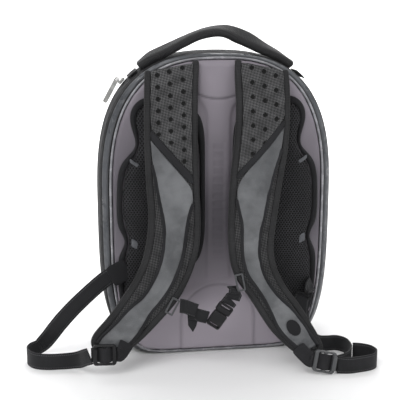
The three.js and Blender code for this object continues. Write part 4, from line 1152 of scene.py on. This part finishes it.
# steps through the lock: distance along it and height over its middle plane
threadPath = (
    (-0.020, -0.0006), (-0.0155, -0.0012), (-0.012, -0.0022), (-0.0085, -0.001), (-0.0055, 0.002),
    (-0.0025, 0.0042), (0, 0.0046), (0.0025, 0.0042),
    (0.0055, 0.002), (0.0085, -0.001), (0.012, -0.0022), (0.0155, -0.0012), (0.020, -0.0006),
)
threadShape = {"width": 0.0235, "thickness": 0.0015}


def makeThreads():
    for side, lock in lockThreads.items():
        run = Vector(lock["run"]).normalized()
        wide = Vector(lock["wide"])
        wide = (wide - run * wide.dot(run)).normalized()
        out = run.cross(wide)
        if out.y > 0:
            out.negate()
        points = [Vector(lock["at"]) + run * a + out * b for a, b in threadPath]
        thread = strip("lockThread" + side, points, wide, threadShape["width"], threadShape["thickness"])
        smoothed(thread, 2)
        thread.data.materials.append(finish["black"])
        placeInBag(thread, "webbing")


pullerPlate = {
    "pivot": (-0.1468, -0.026, 0.4212),
    "from": 0.005,           # the plate starts this far from the pivot
    "inset": 0.0003,          # and lies a little behind the puller's rim
}


def makeHardware():
    for node, name, slot, material, width in (
        ("ladder_lock_left", "ladderLockLeft", "black_plastic", "blackPlastic", 0.0009),
        ("ladder_lock_right", "ladderLockRight", "grey_plastic", "greyPlastic", 0.0009),
        ("sternum_clip_left", "sternumClipLeft", "grey_plastic", "greyPlastic", 0.0005),
        ("sternum_clip_right", "sternumClipRight", "grey_plastic", "greyPlastic", 0.0005),
        ("sternum_buckle", "chestBuckle", "black_plastic", "blackPlastic", 0.0006),
        ("sternum_tongue", "chestTongue", "black_plastic", "blackPlastic", 0.0006),
        ("zip_slider", "zipSlider", "zip_metal", "metal", 0.0003),
    ):
        piece = softCopy(node, name)
        rounded(piece, width, 3, 35)
        piece.data.materials.append(finish[material])
        placeInBag(piece, slot, node)

    puller = softCopy("zip_puller", "zipPuller")
    plate = softCopy("zip_puller", "pullerPlate")
    rounded(puller, 0.0003, 2, 35)
    puller.data.materials.append(finish["metal"])
    placeInBag(puller, "zip_metal", "zip_puller", body="zip_puller")

    # a thin plate closes the puller's long opening
    work = bmesh.new()
    work.from_mesh(plate.data)
    pivot = Vector(pullerPlate["pivot"])
    near = [vert for vert in work.verts if (vert.co - pivot).length < pullerPlate["from"]]
    bmesh.ops.delete(work, geom=near, context="VERTS")
    work.to_mesh(plate.data)
    work.free()
    inEdit(plate, (bpy.ops.mesh.convex_hull, {}))
    modify(plate, "DISPLACE", strength=-pullerPlate["inset"], mid_level=0.0)
    rounded(plate, 0.0001, 2, 35)
    plate.data.materials.append(finish["metal"])
    placeInBag(plate, "zip_metal", body="zip_puller")


def makeSmallCloth():
    handle = softCopy("grab_handle", "grabHandle")
    layCloth(handle, (-1, 0, 0), 8)
    creaseCorners(handle, 35, 0.35)
    smoothed(handle, 2)
    plumped(handle, proud["handle"])
    rippled(handle, *ripples["handle"])
    handle.data.materials.append(finish["binding"])
    placeInBag(handle, "black_fabric", "grab_handle")

    for node, name in (("zip_garage", "zipGarage"), ("zip_end_tab", "zipEndTab")):
        tab = softCopy(node, name)
        creaseCorners(tab, 60, 0.6)
        smoothed(tab, 2)
        tab.data.materials.append(finish["black"])
        placeInBag(tab, "black_fabric", node)

    patch = softCopy("label_patch", "blankPatch")
    rounded(patch, 0.0003, 2, 50)
    patch.data.materials.append(finish["rim"])
    placeInBag(patch, "label", "label_patch")


# Fabric wing sewn into the side seam, from which the left webbing comes
sideWing = {
    "path": (
        (-0.138, -0.0868, 0.1445),
        (-0.1475, -0.0888, 0.140),
        (-0.157, -0.0902, 0.1355),
        (-0.166, -0.0905, 0.131),
    ),
    "across": (-0.42, 0, 0.91),
    "width": 0.034,
    "thickness": 0.0022,
}


def makeSideWing():
    wing = strip(
        "sideWing", sideWing["path"], sideWing["across"], sideWing["width"], sideWing["thickness"],
    )
    smoothed(wing, 3)
    rippled(wing, *ripples["wing"])
    wing.data.materials.append(finish["black"])
    placeInBag(wing, "black_fabric")


makeWebbing()
makeThreads()
makeSideWing()
makeHardware()
makeSmallCloth()
print("webbing and hardware made")
